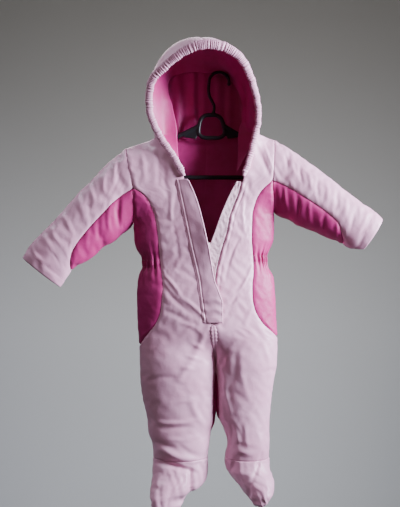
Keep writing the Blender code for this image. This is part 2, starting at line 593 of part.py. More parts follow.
def cloth(name, points, normals, paint, edges, depth=0.0, thickness=PADDED_WALL, plane=None, face=0):
    """A piece of cloth: a lattice on a surface, sunk to its depth and given its thickness.

    Where a plane is given, the piece stays on its own face's side of it, as at the shoulders and toes.
    """
    outer = points - normals * depth
    inner = outer - normals * thickness
    if plane is not None:
        for lattice in (outer, inner):
            beyond = np.maximum(face * (lattice[..., 1] - plane), HALF_GAP)
            lattice[..., 1] = plane + face * beyond
    add_piece(name, wall(draw_in(outer, *edges), draw_in(inner, *edges)), paint)


# ---------------------------------------------------------------- the body's pieces
UPPER_ROWS = 5
ARMHOLE_ROWS = 4
BODY_COLUMNS = 7
LEG_ROW = 25.0


def gore_angle(side, station):
    """How far round from the sleeve's top its gore begins."""
    return np.arccos(np.clip(1 - 2 * side.gore(station), -1, 1))


def armhole_height(side, angle):
    return (side.arm_top + side.arm_under) / 2 + (side.arm_top - side.arm_under) / 2 * math.cos(angle)


def apex_height(side):
    return armhole_height(side, gore_angle(side, 0))


def panel_rows(side):
    """Heights of the side panel's rows, from its apex on the armhole to its lower tip, close at the waist."""
    angles = np.linspace(gore_angle(side, 0), math.pi, ARMHOLE_ROWS + 1)
    armhole = [armhole_height(side, angle) for angle in angles]
    above, below = side.waist + WAIST_ELASTIC_SPREAD, side.waist - WAIST_ELASTIC_SPREAD
    return np.array(armhole + list(np.linspace(side.arm_under, above, 3)[1:])
                    + list(np.linspace(above, below, 5)[1:]) + list(np.linspace(below, side.panel_tip, 8)[1:]))


def leg_rows(side):
    count = round((side.panel_tip - ANKLE_HEIGHT) / LEG_ROW)
    return np.linspace(side.panel_tip, ANKLE_HEIGHT, count + 1)[1:]


GUSSET_END = -716.0
GUSSET_FRONT, GUSSET_BACK = 0.10, 0.14
GUSSET_TIP = 0.12


def gusset_rows(side):
    return [z for z in leg_rows(side) if GUSSET_END < z < CROTCH_HEIGHT]


def gusset_width(side, z, widest):
    """The inner-leg gusset's share of u: it widens from a point at the crotch and narrows to another below."""
    rows = gusset_rows(side)
    if not rows[-1] - 1 < z < rows[0] + 1:
        return 0.0
    place = (rows[0] - z) / (rows[0] - rows[-1])
    return widest * max(GUSSET_TIP, math.sin(math.pi * place) ** 0.5 if 0 < place < 1 else 0)


def inner_edge(side, face, z):
    """Where a front or back begins: at its edge or the centre line, and beside the gusset on the leg."""
    if face == FRONT and z > ZIP_END_HEIGHT:
        return u_of_x(side, side.front_edge(z), z)
    return gusset_width(side, z, GUSSET_FRONT if face == FRONT else GUSSET_BACK)


def body_lattice(side, face):
    """Rows and columns of one front or back, from the shoulder and neck down to the ankle."""
    share = np.linspace(0, 1, BODY_COLUMNS + 1)
    apex = apex_height(side)
    if face == FRONT:
        neck = side.front_edge.places[-1]
        first_u = u_of_x(side, side.front_edge(neck), neck)
    else:
        neck = side.shoulder_back(0.0)
        first_u = 0.0
    u_top = first_u + (1 - first_u) * share
    z_top = np.full_like(share, side.arm_top)
    shoulder = side.shoulder_front if face == FRONT else side.shoulder_back
    for _ in range(8):
        z_top = shoulder(body_x(side, u_top, z_top))
    rows = [(u_top, z_top)]
    last_angle = gore_angle(side, 0)
    for k in range(1, UPPER_ROWS):
        outer_z = armhole_height(side, last_angle * k / UPPER_ROWS)
        outer_share = (outer_z - side.arm_top) / (apex - side.arm_top)
        down = k / UPPER_ROWS * (1 - share) + outer_share * share
        z = z_top + (apex - z_top) * down
        start = inner_edge(side, face, z[0])
        rows.append((start + (1 - start) * share, z))
    for z in panel_rows(side):
        end = u_of_x(side, side.panel_seam(z), z)
        start = inner_edge(side, face, z)
        rows.append((start + (end - start) * share, np.full_like(share, z)))
    for z in leg_rows(side):
        start = inner_edge(side, face, z)
        rows.append((start + (1 - start) * share, np.full_like(share, z)))
    return np.array([row[0] for row in rows]), np.array([row[1] for row in rows])


def make_fronts_and_backs():
    for side in SIDES:
        for face, name in ((FRONT, "front"), (BACK, "back")):
            u, z = body_lattice(side, face)
            points, normals = body_surface(side, face, u, z)
            edges = (HALF_GAP, HALF_GAP, HALF_GAP, HALF_GAP)
            plane = np.where(z > side.arm_under, 0.0, -face * 100.0)
            cloth(f"{name}_{side.name}", points, normals, SHELL_PINK, edges, plane=plane, face=face)
            if face == BACK:
                last_row = UPPER_ROWS + ARMHOLE_ROWS + 5
                crop = slice(0, last_row), slice(0, BODY_COLUMNS)
                cloth(f"back_lining_{side.name}", points[crop], normals[crop], LINING_PINK,
                      (1.0, 0, HALF_GAP, 0), PADDED_WALL + LINING_CLEARANCE, LINING_WALL,
                      plane[crop], face)


PANEL_COLUMNS = 11


def flute_height(side, turn, z):
    """The waist elastic's flutes; turn runs from the panel's front seam (0) to its back seam (1)."""
    near_waist = np.exp(-((z - side.waist) / WAIST_ELASTIC_SPREAD) ** 2)
    near_seams = ease(turn * 9) * ease((1 - turn) * 9)
    return WAIST_FLUTE_HEIGHT * near_waist * near_seams * -np.cos(2 * math.pi * WAIST_FLUTES * turn)


def make_side_panels():
    """Each side panel passes round the side, with an upper end in front of and behind the armhole."""
    for side in SIDES:
        rows = panel_rows(side)
        z = np.repeat(rows[:, None], PANEL_COLUMNS + 1, axis=1)
        seam_u = u_of_x(side, side.panel_seam(rows), rows)[:, None]
        share = np.linspace(0, 1, PANEL_COLUMNS + 1)
        u = seam_u + (1 - seam_u) * share
        outer, inner = [], []
        for face in (FRONT, BACK):
            points, normals = body_surface(side, face, u, z)
            turn = share / 2 if face == FRONT else 1 - share / 2
            points = points + normals * flute_height(side, turn, z)[..., None]
            order = slice(None) if face == FRONT else slice(None, None, -1)
            pair = [points[:, order], (points - normals * PADDED_WALL)[:, order]]
            for lattice in pair:
                seam, armhole = (0, -1) if face == FRONT else (-1, 0)
                step = 1 if face == FRONT else -1
                toward = unit(lattice[:, seam + step] - lattice[:, seam])
                lattice[:, seam] += toward * HALF_GAP
                toward = unit(lattice[:ARMHOLE_ROWS, armhole - step] - lattice[:ARMHOLE_ROWS, armhole])
                lattice[:ARMHOLE_ROWS, armhole] += toward * HALF_GAP
            outer.append(pair[0])
            inner.append(pair[1])
        outer, inner = np.concatenate(outer, axis=1), np.concatenate(inner, axis=1)
        for lattice in (outer, inner):
            lattice[ARMHOLE_ROWS, PANEL_COLUMNS:PANEL_COLUMNS + 2, 2] -= SEAM_GAP
        index = unique_index(*outer.shape[:2])
        index[ARMHOLE_ROWS:, PANEL_COLUMNS + 1] = index[ARMHOLE_ROWS:, PANEL_COLUMNS]
        add_piece(f"side_panel_{side.name}",
                  wall(outer, inner, index, keep=lambda r, c: c != PANEL_COLUMNS), CONTRAST_PINK)


def make_inner_legs():
    """The gussets wrap round the inside of each leg from front to back."""
    for side in SIDES:
        outer = []
        inner = []
        for z in gusset_rows(side):
            front = np.linspace(gusset_width(side, z, GUSSET_FRONT), 0, 3)
            back = np.linspace(0, gusset_width(side, z, GUSSET_BACK), 4)[1:]
            ring = [body_surface(side, FRONT, front, z), body_surface(side, BACK, back, z)]
            points = np.concatenate([part[0] for part in ring])
            normals = np.concatenate([part[1] for part in ring])
            outer.append(points)
            inner.append(points - normals * PADDED_WALL)
        edges = (HALF_GAP, HALF_GAP, HALF_GAP, HALF_GAP)
        add_piece(f"inner_leg_{side.name}", wall(draw_in(np.array(outer), *edges), draw_in(np.array(inner), *edges)),
                  CONTRAST_PINK)


# ---------------------------------------------------------------- sleeves
SLEEVE_ROWS = [0, 0.5, 1.1, 1.8, 2.5, 3.2, 3.9, 4.6, 5.3, 6.0, 6.6, GORE_TIP_STATION, 7.8, 8.4, 9.0]
SLEEVE_TOP_COLUMNS = 12
GORE_COLUMNS = 6


def sleeve_piece(name, side, stations, first_angle, last_angle, columns, paint, last_gap):
    """One wall of a sleeve; its first ring lies in the armhole's seam, which is upright and runs front to back."""
    stations = np.array(stations, float)
    share = np.linspace(0, 1, columns + 1)
    angle = first_angle[:, None] + (last_angle - first_angle)[:, None] * share
    points, normals = sleeve_surface(side, stations[:, None], angle)
    upright = normals[0] * np.array([0.0, 1.0, 1.0])
    normals[0] = unit(upright)
    inner = points - normals * PADDED_WALL
    for lattice in (points, inner):
        lattice[0, :, 0] = side.arm_line(lattice[0, :, 2]) + side.sign * SEAM_GAP
    edges = (0, last_gap, HALF_GAP, HALF_GAP)
    add_piece(name, wall(draw_in(points, *edges), draw_in(inner, *edges)), paint)


def make_sleeves():
    for side in SIDES:
        gore = gore_angle(side, np.array(SLEEVE_ROWS))
        gore[SLEEVE_ROWS.index(GORE_TIP_STATION) + 1:] = math.pi
        sleeve_piece(f"sleeve_top_{side.name}", side, SLEEVE_ROWS, -gore, gore, SLEEVE_TOP_COLUMNS, SHELL_PINK, 0)
        rows = SLEEVE_ROWS[:SLEEVE_ROWS.index(GORE_TIP_STATION) + 1]
        angle = gore_angle(side, np.array(rows))
        sleeve_piece(f"sleeve_under_{side.name}", side, rows, angle, 2 * math.pi - angle, GORE_COLUMNS,
                     CONTRAST_PINK, HALF_GAP)


# ---------------------------------------------------------------- feet
FOOT_ROWS = [0, 0.19, 0.36, 0.51, 0.62, 0.70, 0.77, 0.88, 0.945, 1.0]
HEEL_END_ROW = 5
FOOT_SEAM_U = 0.12
FOOT_UPPER_COLUMNS = 8
SOLE_COLUMNS = 7
STRAIGHT_DOWN = (0.0, 0.0, -1.0)


def foot_plane(side, u, z):
    """The depth of the plane between a foot's front and its sole, across the foot and down it."""
    return middle(side, z) + foot_turn(foot_place(side, z)) * (across(u[None, :], z) - 0.5)


def make_feet():
    """Each foot's upper and sole meet face to face along a short seam across the toe."""
    for side in SIDES:
        rows = ANKLE_HEIGHT + np.array(FOOT_ROWS) * (side.toe_end - ANKLE_HEIGHT)
        z = rows[:, None]
        around = [(BACK, np.array([FOOT_SEAM_U, FOOT_SEAM_U / 2])),
                  (FRONT, np.linspace(0, 1, FOOT_UPPER_COLUMNS + 1)),
                  (BACK, np.array([1 - FOOT_SEAM_U / 2, 1 - FOOT_SEAM_U]))]
        pairs = [body_surface(side, face, u[None, :], z) for face, u in around]
        points = np.concatenate([pair[0] for pair in pairs], axis=1)
        normals = np.concatenate([pair[1] for pair in pairs], axis=1)
        normals[-1] = STRAIGHT_DOWN
        faces = np.concatenate([np.full(len(u), face) for face, u in around])
        u = np.concatenate([u for _, u in around])
        edges = (HALF_GAP, HALF_GAP, HALF_GAP, HALF_GAP)
        cloth(f"foot_upper_{side.name}", points, normals, SHELL_PINK, edges,
              plane=foot_plane(side, u, z), face=np.where((u > 0) & (u < 1), faces, 0))
        u = np.linspace(FOOT_SEAM_U, 1 - FOOT_SEAM_U, SOLE_COLUMNS + 1)
        points, normals = body_surface(side, BACK, u[None, :], z)
        normals[-1] = STRAIGHT_DOWN
        plane = foot_plane(side, u, z)
        heel, sole = slice(0, HEEL_END_ROW + 1), slice(HEEL_END_ROW, None)
        cloth(f"foot_heel_{side.name}", points[heel], normals[heel], SHELL_PINK, edges)
        cloth(f"foot_sole_{side.name}", points[sole], normals[sole], SHELL_PINK, edges,
              plane=plane[sole], face=BACK)


# ---------------------------------------------------------------- hood
HOOD_ROWS = [0, 0.5, 1, 1.5, 2, 2.5, 3, 3.6, 4.4, 5.2, 6, 7]
HOOD_HALF_COLUMNS = 11
HOOD_BASE_GAP = 0.8
HOOD_LINING_END = 6.6


def make_hood():
    place = np.array(HOOD_ROWS, float)[:, None]
    for name, start in (("right", 0.0), ("left", 0.5)):
        part = np.linspace(start, start + 0.5, HOOD_HALF_COLUMNS + 1)[None, :]
        points, normals = hood_surface(part, place)
        base_first = name == "right"
        edges = (0, HOOD_BASE_GAP, HOOD_BASE_GAP if base_first else HALF_GAP,
                 HALF_GAP if base_first else HOOD_BASE_GAP)
        cloth(f"hood_{name}", points, normals, SHELL_PINK, edges)
    part = np.linspace(0, 1, 2 * HOOD_HALF_COLUMNS + 1)[None, :]
    points, normals = hood_surface(part, np.minimum(place, HOOD_LINING_END))
    edges = (1.5, HOOD_BASE_GAP, HOOD_BASE_GAP, HOOD_BASE_GAP)
    cloth("hood_lining", points, normals, LINING_PINK, edges, PADDED_WALL + LINING_CLEARANCE, LINING_WALL)


CASING_STEPS = 3
CASING_SECTION = 5


def make_casing():
    """A soft gathered tube round the face: an oval section that swells and narrows with each gather."""
    count = CASING_GATHERS * CASING_STEPS + 1
    line = casing_line(count)
    _, outward, forward = casing_frame(line)
    swell = np.cos(2 * math.pi * np.arange(count) / CASING_STEPS)[:, None] * CASING_GATHER_HEIGHT
    rings = []
    for step in range(CASING_SECTION):
        angle = 2 * math.pi * (step + 0.5) / CASING_SECTION
        rings.append(line + outward * (CASING_HALF_WIDTH + swell / 2) * math.cos(angle)
                     + forward * (CASING_HALF_THICKNESS + swell) * math.sin(angle))
    mesh = bmesh.new()
    verts = [[mesh.verts.new(rings[k][i] * MM) for k in range(CASING_SECTION)] for i in range(count)]
    for i in range(count - 1):
        for k in range(CASING_SECTION):
            other = (k + 1) % CASING_SECTION
            mesh.faces.new((verts[i][k], verts[i][other], verts[i + 1][other], verts[i + 1][k]))
    mesh.faces.new(verts[0])
    mesh.faces.new(verts[-1])
    bmesh.ops.recalc_face_normals(mesh, faces=mesh.faces)
    add_piece("hood_casing", mesh, SHELL_PINK)


# ---------------------------------------------------------------- the front opening
def strip_piece(name, near, far, heights, height, thickness, columns, paint):
    """A strip that lies along the front opening, at its height outside the front's outer face."""
    outer = []
    for z in heights:
        x = near(z) + (far(z) - near(z)) * np.linspace(0, 1, columns + 1)
        outer.append([(place, front_y(place, z) - height, z) for place in x])
    outer = np.array(outer)
    inner = outer + np.array([0.0, thickness, 0.0])
    add_piece(name, wall(outer, inner), paint)


SLIDER = {"plate_width": 8.0, "neck_width": 1.0, "height": 10.0, "plate": 1.1, "neck": 2.6, "x": -0.2, "z": -343.0}


def make_slider():
    """The slider at the end of the open part: two plates on a thin neck that passes between the tapes."""
    half_plate, half_neck = SLIDER["plate_width"] / 2, SLIDER["neck_width"] / 2
    front = front_y(SLIDER["x"], SLIDER["z"]) - 0.9
    depths = [front, front + SLIDER["plate"], front + SLIDER["plate"] + SLIDER["neck"],
              front + 2 * SLIDER["plate"] + SLIDER["neck"]]
    outline = [(-half_plate, depths[0]), (half_plate, depths[0]), (half_plate, depths[1]), (half_neck, depths[1]),
               (half_neck, depths[2]), (half_plate, depths[2]), (half_plate, depths[3]), (-half_plate, depths[3]),
               (-half_plate, depths[2]), (-half_neck, depths[2]), (-half_neck, depths[1]), (-half_plate, depths[1])]
    mesh = bmesh.new()
    low = SLIDER["z"] - SLIDER["height"] / 2
    base = [mesh.verts.new((np.array([SLIDER["x"] + x, y, low])) * MM) for x, y in outline]
    face = mesh.faces.new(base)
    grown = bmesh.ops.extrude_face_region(mesh, geom=[face])
    raised = [part for part in grown["geom"] if isinstance(part, bmesh.types.BMVert)]
    bmesh.ops.translate(mesh, verts=raised, vec=(0, 0, SLIDER["height"] * MM))
    bmesh.ops.recalc_face_normals(mesh, faces=mesh.faces)
    add_piece("zip_slider", mesh, ZIP_PINK)


def make_front_opening():
    right, left = SIDES
    strip_piece("placket_flap", Track(FLAP, "z", "near"), Track(FLAP, "z", "far"),
                np.linspace(FLAP[0].z, FLAP[-1].z, 15), FLAP_CLEARANCE + FLAP_WALL, FLAP_WALL, 4, SHELL_PINK)
    heights = np.linspace(ZIP_EDGES[0].z, ZIP_EDGES[-1].z, 13)
    strip_piece("zip_band_left", lambda z: left.front_edge(z) - TAPE_INSET, Track(ZIP_EDGES, "z", "band"),
                heights, -TAPE_SUNK, TAPE_WALL, 2, ZIP_PINK)
    strip_piece("zip_tape_right", lambda z: right.front_edge(z) + TAPE_INSET, Track(ZIP_EDGES, "z", "tape"),
                heights, -TAPE_SUNK, TAPE_WALL, 1, ZIP_PINK)
    make_slider()


# ---------------------------------------------------------------- hanger
HOOK_WIRE = 3.3
HOOK_RADIUS = 20.0
BAR_RADIUS = 3.8
ARM_RADIUS = 4.2
STEM = [(10, -84), (13, -66), (9, -56), (3, -46), (0.5, -32)]
NECK_FRAME = [(-14, -82), (26, -82), (37, -128), (-22, -128)]
ARM_FRAME = [(-18, -104), (-56, -123), (-120, -153), (-196, -191), (-202, -197), (-200, -204), (-192, -207),
             (190, -207), (198, -203), (198, -195), (190, -187), (120, -152), (66, -124), (31, -104)]


def rod(name, points, radius, closed):
    """A round bar along points in the hanger's upright plane, as a mesh."""
    curve = bpy.data.curves.new(name, "CURVE")
    curve.dimensions = "3D"
    curve.bevel_depth = radius * MM
    curve.bevel_resolution = 1
    curve.use_fill_caps = not closed
    spline = curve.splines.new("POLY")
    spline.points.add(len(points) - 1)
    for point, (x, z) in zip(spline.points, points):
        point.co = (x * MM, 0, z * MM, 1)
    spline.use_cyclic_u = closed
    bar = bpy.data.objects.new(name, curve)
    bpy.context.scene.collection.objects.link(bar)
    bpy.context.view_layer.update()
    evaluated = bar.evaluated_get(bpy.context.evaluated_depsgraph_get())
    mesh = bpy.data.meshes.new_from_object(evaluated)
    bpy.data.objects.remove(bar)
    builder = bmesh.new()
    builder.from_mesh(mesh)
    bmesh.ops.remove_doubles(builder, verts=builder.verts, dist=0.00001)
    bmesh.ops.recalc_face_normals(builder, faces=builder.faces)
    builder.to_mesh(mesh)
    builder.free()
    return bpy.data.objects.new(name, mesh)


def make_hanger():
    """Hook, neck frame and arms are moulded in one: three bars joined into one solid."""
    centre_z = HOOK_WIRE - HOOK_RADIUS
    turns = np.linspace(math.radians(180), math.radians(-12), 17)
    hook = [(HOOK_TOP_X + HOOK_RADIUS * math.cos(a), centre_z + HOOK_RADIUS * math.sin(a)) for a in turns]
    hanger = rod("hanger", ARM_FRAME, ARM_RADIUS, False)
    model.objects.link(hanger)
    for name, points, radius, closed in (("neck_frame_cutter", NECK_FRAME, BAR_RADIUS, True),
                                         ("hook_cutter", STEM + hook, HOOK_WIRE, False)):
        part = rod(name, points, radius, closed)
        model.objects.link(part)
        union = hanger.modifiers.new("join", "BOOLEAN")
        union.operation = "UNION"
        union.solver = "EXACT"
        union.object = part
        evaluated = hanger.evaluated_get(bpy.context.evaluated_depsgraph_get())
        joined = bpy.data.meshes.new_from_object(evaluated)
        hanger.modifiers.clear()
        hanger.data = joined
        bpy.data.objects.remove(part)
    hanger.data.materials.clear()
    hanger.data.materials.append(make_material("hanger", HANGER_BLACK))
    hanger.location.x = -HOOK_TOP_X * MM


start_scene()
make_fronts_and_backs()
make_side_panels()
make_inner_legs()
make_sleeves()
make_feet()
make_hood()
make_casing()
make_front_opening()
make_hanger()
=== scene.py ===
"""A baby's padded, hooded, footed snowsuit, hung open on a black plastic clothes hanger.

The cloth is drafted in millimetres, as its solids are: X runs across the suit (the wearer's left is +X),
-Y is the front and Z is up, and the hook's top stands at X = HOOK_TOP_X. Every panel is laid on one of four
surfaces (body with legs and feet, two sleeves, hood), let buckle as spare cloth does between its seams, and
then given its padded wall.
"""

import math
from collections import namedtuple

import bmesh
import bpy
import numpy as np
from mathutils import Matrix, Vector


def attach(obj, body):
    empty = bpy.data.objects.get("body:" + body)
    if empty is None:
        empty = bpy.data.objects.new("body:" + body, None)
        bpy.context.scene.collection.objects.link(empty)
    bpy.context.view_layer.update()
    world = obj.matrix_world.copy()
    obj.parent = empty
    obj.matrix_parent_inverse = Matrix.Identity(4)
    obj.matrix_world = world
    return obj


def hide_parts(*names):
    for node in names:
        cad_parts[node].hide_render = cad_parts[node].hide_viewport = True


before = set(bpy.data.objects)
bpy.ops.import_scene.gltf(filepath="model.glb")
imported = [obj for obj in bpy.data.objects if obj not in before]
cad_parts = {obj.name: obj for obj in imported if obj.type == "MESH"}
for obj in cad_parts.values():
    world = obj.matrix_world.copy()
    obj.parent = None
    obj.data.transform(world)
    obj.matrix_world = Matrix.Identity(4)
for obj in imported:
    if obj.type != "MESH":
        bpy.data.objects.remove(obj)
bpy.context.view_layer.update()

# ---------------------------------------------------------------- sizes, in millimetres
MM = 0.001
PADDED_WALL = 3.0
THIN_WALL = 1.2
LINING_CLEARANCE = 0.7
TAPE_WALL = 1.4
TAPE_SUNK = 0.8
FLAP_WALL = 2.2
FLAP_CLEARANCE = 1.3
HOOK_TOP_X = 22.0

CROTCH_HEIGHT = -576.0
ANKLE_HEIGHT = -765.0
WAIST_RIGHT, WAIST_LEFT = -378.0, -370.0
LEG_STARTS, LEG_WHOLE = -505.0, -585.0
SHOULDER_ROUNDING = 50.0
NECK_HALF_WIDTH = 103.0
NECK_DEPTH_BACK = 24.0

RIGHT, LEFT = -1, 1
FRONT, BACK = -1, 1
FORWARD = (0.0, -1.0, 0.0)
BACKWARD = (0.0, 1.0, 0.0)

# ---------------------------------------------------------------- the pattern's tables
def rows(kind, *values):
    """The rows of a table, each read by its column names."""
    return [kind(*row) for row in values]


Outline = namedtuple("Outline", "z outer inner")
OUTLINE_RIGHT = rows(
    Outline, (-302, -149, -8), (-334, -147, -7), (-352, -142, -6), (-368, -131, -6), (-386, -130, -4),
    (-400, -137, -2), (-420, -141, 1), (-450, -142, 4), (-490, -141, 8), (-539, -138, 12), (-576, -137, 15),
    (-610, -136, 15), (-648, -131, 15), (-690, -122, 12), (-713, -120, 5), (-738, -112, 3), (-765, -110, 0),
    (-798, -110, -1), (-811, -112, -4), (-821, -113, -13), (-829, -113, -31), (-835, -112, -42),
    (-845, -109, -49), (-856, -100, -58))
OUTLINE_LEFT = rows(
    Outline, (-280, 132, -7), (-329, 131, -8), (-348, 124, -6), (-366, 117, -6), (-384, 119, -4),
    (-405, 130, 0), (-444, 134, 4), (-487, 136, 8), (-534, 139, 12), (-576, 138, 15.6), (-606, 133, 17),
    (-640, 128, 17.5), (-680, 124, 20), (-706, 123, 32), (-735, 123, 38), (-765, 122, 33), (-786, 122, 36),
    (-798, 127, 43), (-809, 129, 51), (-820, 127, 61), (-830, 121, 71), (-840, 112, 83), (-849, 104, 90))

Edge = namedtuple("Edge", "z x")
CENTRE_LINE = rows(
    Edge, (-100, -2), (-200, -5), (-300, -8), (-350, -6), (-400, -2), (-450, 4), (-490, 8), (-535, 12),
    (-576, 15))

Depth = namedtuple("Depth", "z front back turn")
BODY_DEPTH = rows(
    Depth, (-127, 28, 28, 0), (-208, 39, 31, 0), (-302, 43, 37, 0), (-378, 40, 36, 0), (-450, 46, 40, 0),
    (-520, 46, 44, 0), (-576, 42, 42, 0), (-640, 38, 38, 0), (-700, 36, 36, 0), (-745, 39, 37, 0),
    (-765, 37, 37, 0), (-790, 46, 41, -16), (-810, 57, 38, -34), (-821, 62, 26, -38), (-829, 65, 12, -38),
    (-835, 66, -2, -34), (-845, 66, -30, -24), (-851, 62, -43, -16), (-856, 54.4, -54.0, -10))

ARM_LINE_RIGHT = rows(
    Edge, (-147, -163), (-190, -156), (-232, -148), (-265, -147), (-302, -149))
ARM_LINE_LEFT = rows(
    Edge, (-131, 132), (-182, 129), (-217, 127), (-250, 129), (-280, 132))
ARM_HALF_DEPTH = 30.0

Shoulder = namedtuple("Shoulder", "x front back")
SHOULDER_RIGHT = rows(
    Shoulder, (-163, -147, -147), (-103, -127, -127), (-60, -112, -131), (0, -100, -132))
SHOULDER_LEFT = rows(
    Shoulder, (0, -100, -132), (60, -108, -131), (103, -121, -124), (132, -131, -131))

Sleeve = namedtuple("Sleeve", "station top_x top_z under_x under_z depth forward")
SLEEVE_RIGHT = rows(
    Sleeve, (0, -163, -147, -149, -302, 30, 0), (1, -184, -165, -161, -313, 31, -1),
    (2, -208, -187, -174, -322, 32, -2), (3, -232, -213, -189, -336, 31, -4),
    (4, -258, -239, -207, -345, 30, -5), (5, -284, -269, -227, -364, 29, -6),
    (6, -309, -297, -248, -378, 28, -8), (7, -334, -322, -267, -389, 26, -9),
    (8, -354, -344, -280, -408, 23, -10), (9, -368, -368, -293, -426, 19, -10))
SLEEVE_LEFT = rows(
    Sleeve, (0, 132, -131, 132, -280, 30, 0), (1, 156, -146, 146, -287, 31, -3),
    (2, 178, -162, 160, -292, 32, -6), (3, 201, -179, 175, -302, 32, -10),
    (4, 224, -197, 192, -309, 31, -14), (5, 248, -216, 212, -317, 30, -18),
    (6, 272, -237, 234, -328, 29, -22), (7, 296, -255, 258, -338, 27, -26),
    (8, 319, -271, 282, -351, 24, -30), (9, 341, -293, 304, -351, 20, -33))
Gore = namedtuple("Gore", "station right left")
GORE = rows(
    Gore, (0, 0.55, 0.575), (2, 0.555, 0.575), (3, 0.56, 0.57), (4, 0.60, 0.58), (5, 0.62, 0.605),
    (6, 0.71, 0.645), (7, 0.93, 0.90), (7.3, 0.995, 0.99), (9, 1, 1))
GORE_TIP_STATION = 7.2

PANEL_SEAM_RIGHT = rows(
    Edge, (-232, -146.3), (-240, -132), (-255, -118), (-289, -104.5), (-322, -99), (-367, -95.5),
    (-401, -91), (-420, -89), (-442, -90.5), (-473, -94), (-495, -102.5), (-515, -118), (-530, -130),
    (-539, -136))
PANEL_SEAM_LEFT = rows(
    Edge, (-217, 125.3), (-228, 112), (-243, 100), (-262, 92), (-284, 87), (-330, 86), (-366, 89),
    (-392, 90), (-422, 87), (-452, 88), (-476, 95), (-498, 110), (-514, 128), (-522, 136.4))

FRONT_EDGE_RIGHT = rows(
    Edge, (-127, -103), (-143, -96.5), (-175, -75.5), (-213, -56), (-251, -38), (-289, -27), (-332, -18),
    (-350, -13), (-400, -7), (-450, 0), (-492, 8))
FRONT_EDGE_LEFT = rows(
    Edge, (-121, 103), (-135, 98.5), (-166, 91.5), (-188, 86), (-205, 81), (-216, 67), (-241, 60),
    (-263, 51), (-286, 43), (-317, 37), (-350, 27), (-397, 16), (-450, 11), (-492, 9))
ZIP_END_HEIGHT = -492.0

Strip = namedtuple("Strip", "z near far")
FLAP = rows(
    Strip, (-214, -65, -40), (-251, -57, -24), (-289, -49, -13), (-332, -40, -3), (-350, -36, 1),
    (-380, -29, 6), (-412, -22, 12), (-436, -19, 21), (-456, -16, 27), (-494, -11, 27))
BandEdge = namedtuple("BandEdge", "z band tape")
ZIP_EDGES = rows(
    BandEdge, (-218, 56, -44), (-241, 43, -31), (-263, 33, -22), (-286, 23.5, -16), (-317, 12.5, -9.5),
    (-332, 7, -7), (-350, 1.2, -1.6), (-397, 5.2, 4.0), (-430, 5.8, 4.4), (-460, 6.4, 5.0))
TAPE_INSET = 1.2

Casing = namedtuple("Casing", "x y z")
CASING = rows(
    Casing, (-47, -44, -208), (-66.7, -41, -171), (-88.4, -37, -139), (-102, -38, -114), (-111.5, -42, -91),
    (-114, -50, -65), (-112, -58, -43), (-105, -66, -24), (-87, -74, -8), (-65, -82, 10), (-37, -89, 26),
    (-10, -93, 32.5), (13, -93, 32), (40, -89, 24), (62.5, -83, 7), (77, -74, -17), (88, -62, -45),
    (95.2, -50, -73), (96, -42, -104), (89.8, -38, -132), (82.8, -39, -164), (76.4, -42, -186),
    (68.5, -44, -208))
CASING_HALF_WIDTH = 7.4
CASING_HALF_THICKNESS = 3.4
FACE_CENTRE = (-8.0, -75.0)
HOOD_EDGE_START, HOOD_EDGE_END = 0.124, 0.862
HOOD_EDGE_OFFSET = 2.4
HOOD_EDGE_BEHIND = 6.8

Arch = namedtuple("Arch", "top_x top_y top_z right_x right_z left_x left_z "
                          "base_right base_right_z base_left base_left_z base_y")
HOOD_ARCHES = rows(
    Arch, (-15, -48, 55, -111, -64, 84, -92, -99, -129, 99, -126, -15),
    (-12, -14, 43, -104, -64, 82, -86, -101, -124, 100, -118.5, 0),
    (-6, 6, 23, -94, -47, 75, -64, -89, -126.5, 92, -124, 11),
    (-3, 13, 5, -80, -18, 64, -34, -64, -128.5, 74, -127.5, 19),
    (-2, 15.5, -42, -57, -64, 47, -70, -47, -129.6, 52, -129.6, 21.5),
    (0, 19.5, -92, -39, -103, 36, -103, -35, -130, 38, -130, 22.7),
    (0, 23.5, -129.6, -16, -129.9, 16, -129.9, -29, -130.2, 31, -130.2, 23.4))

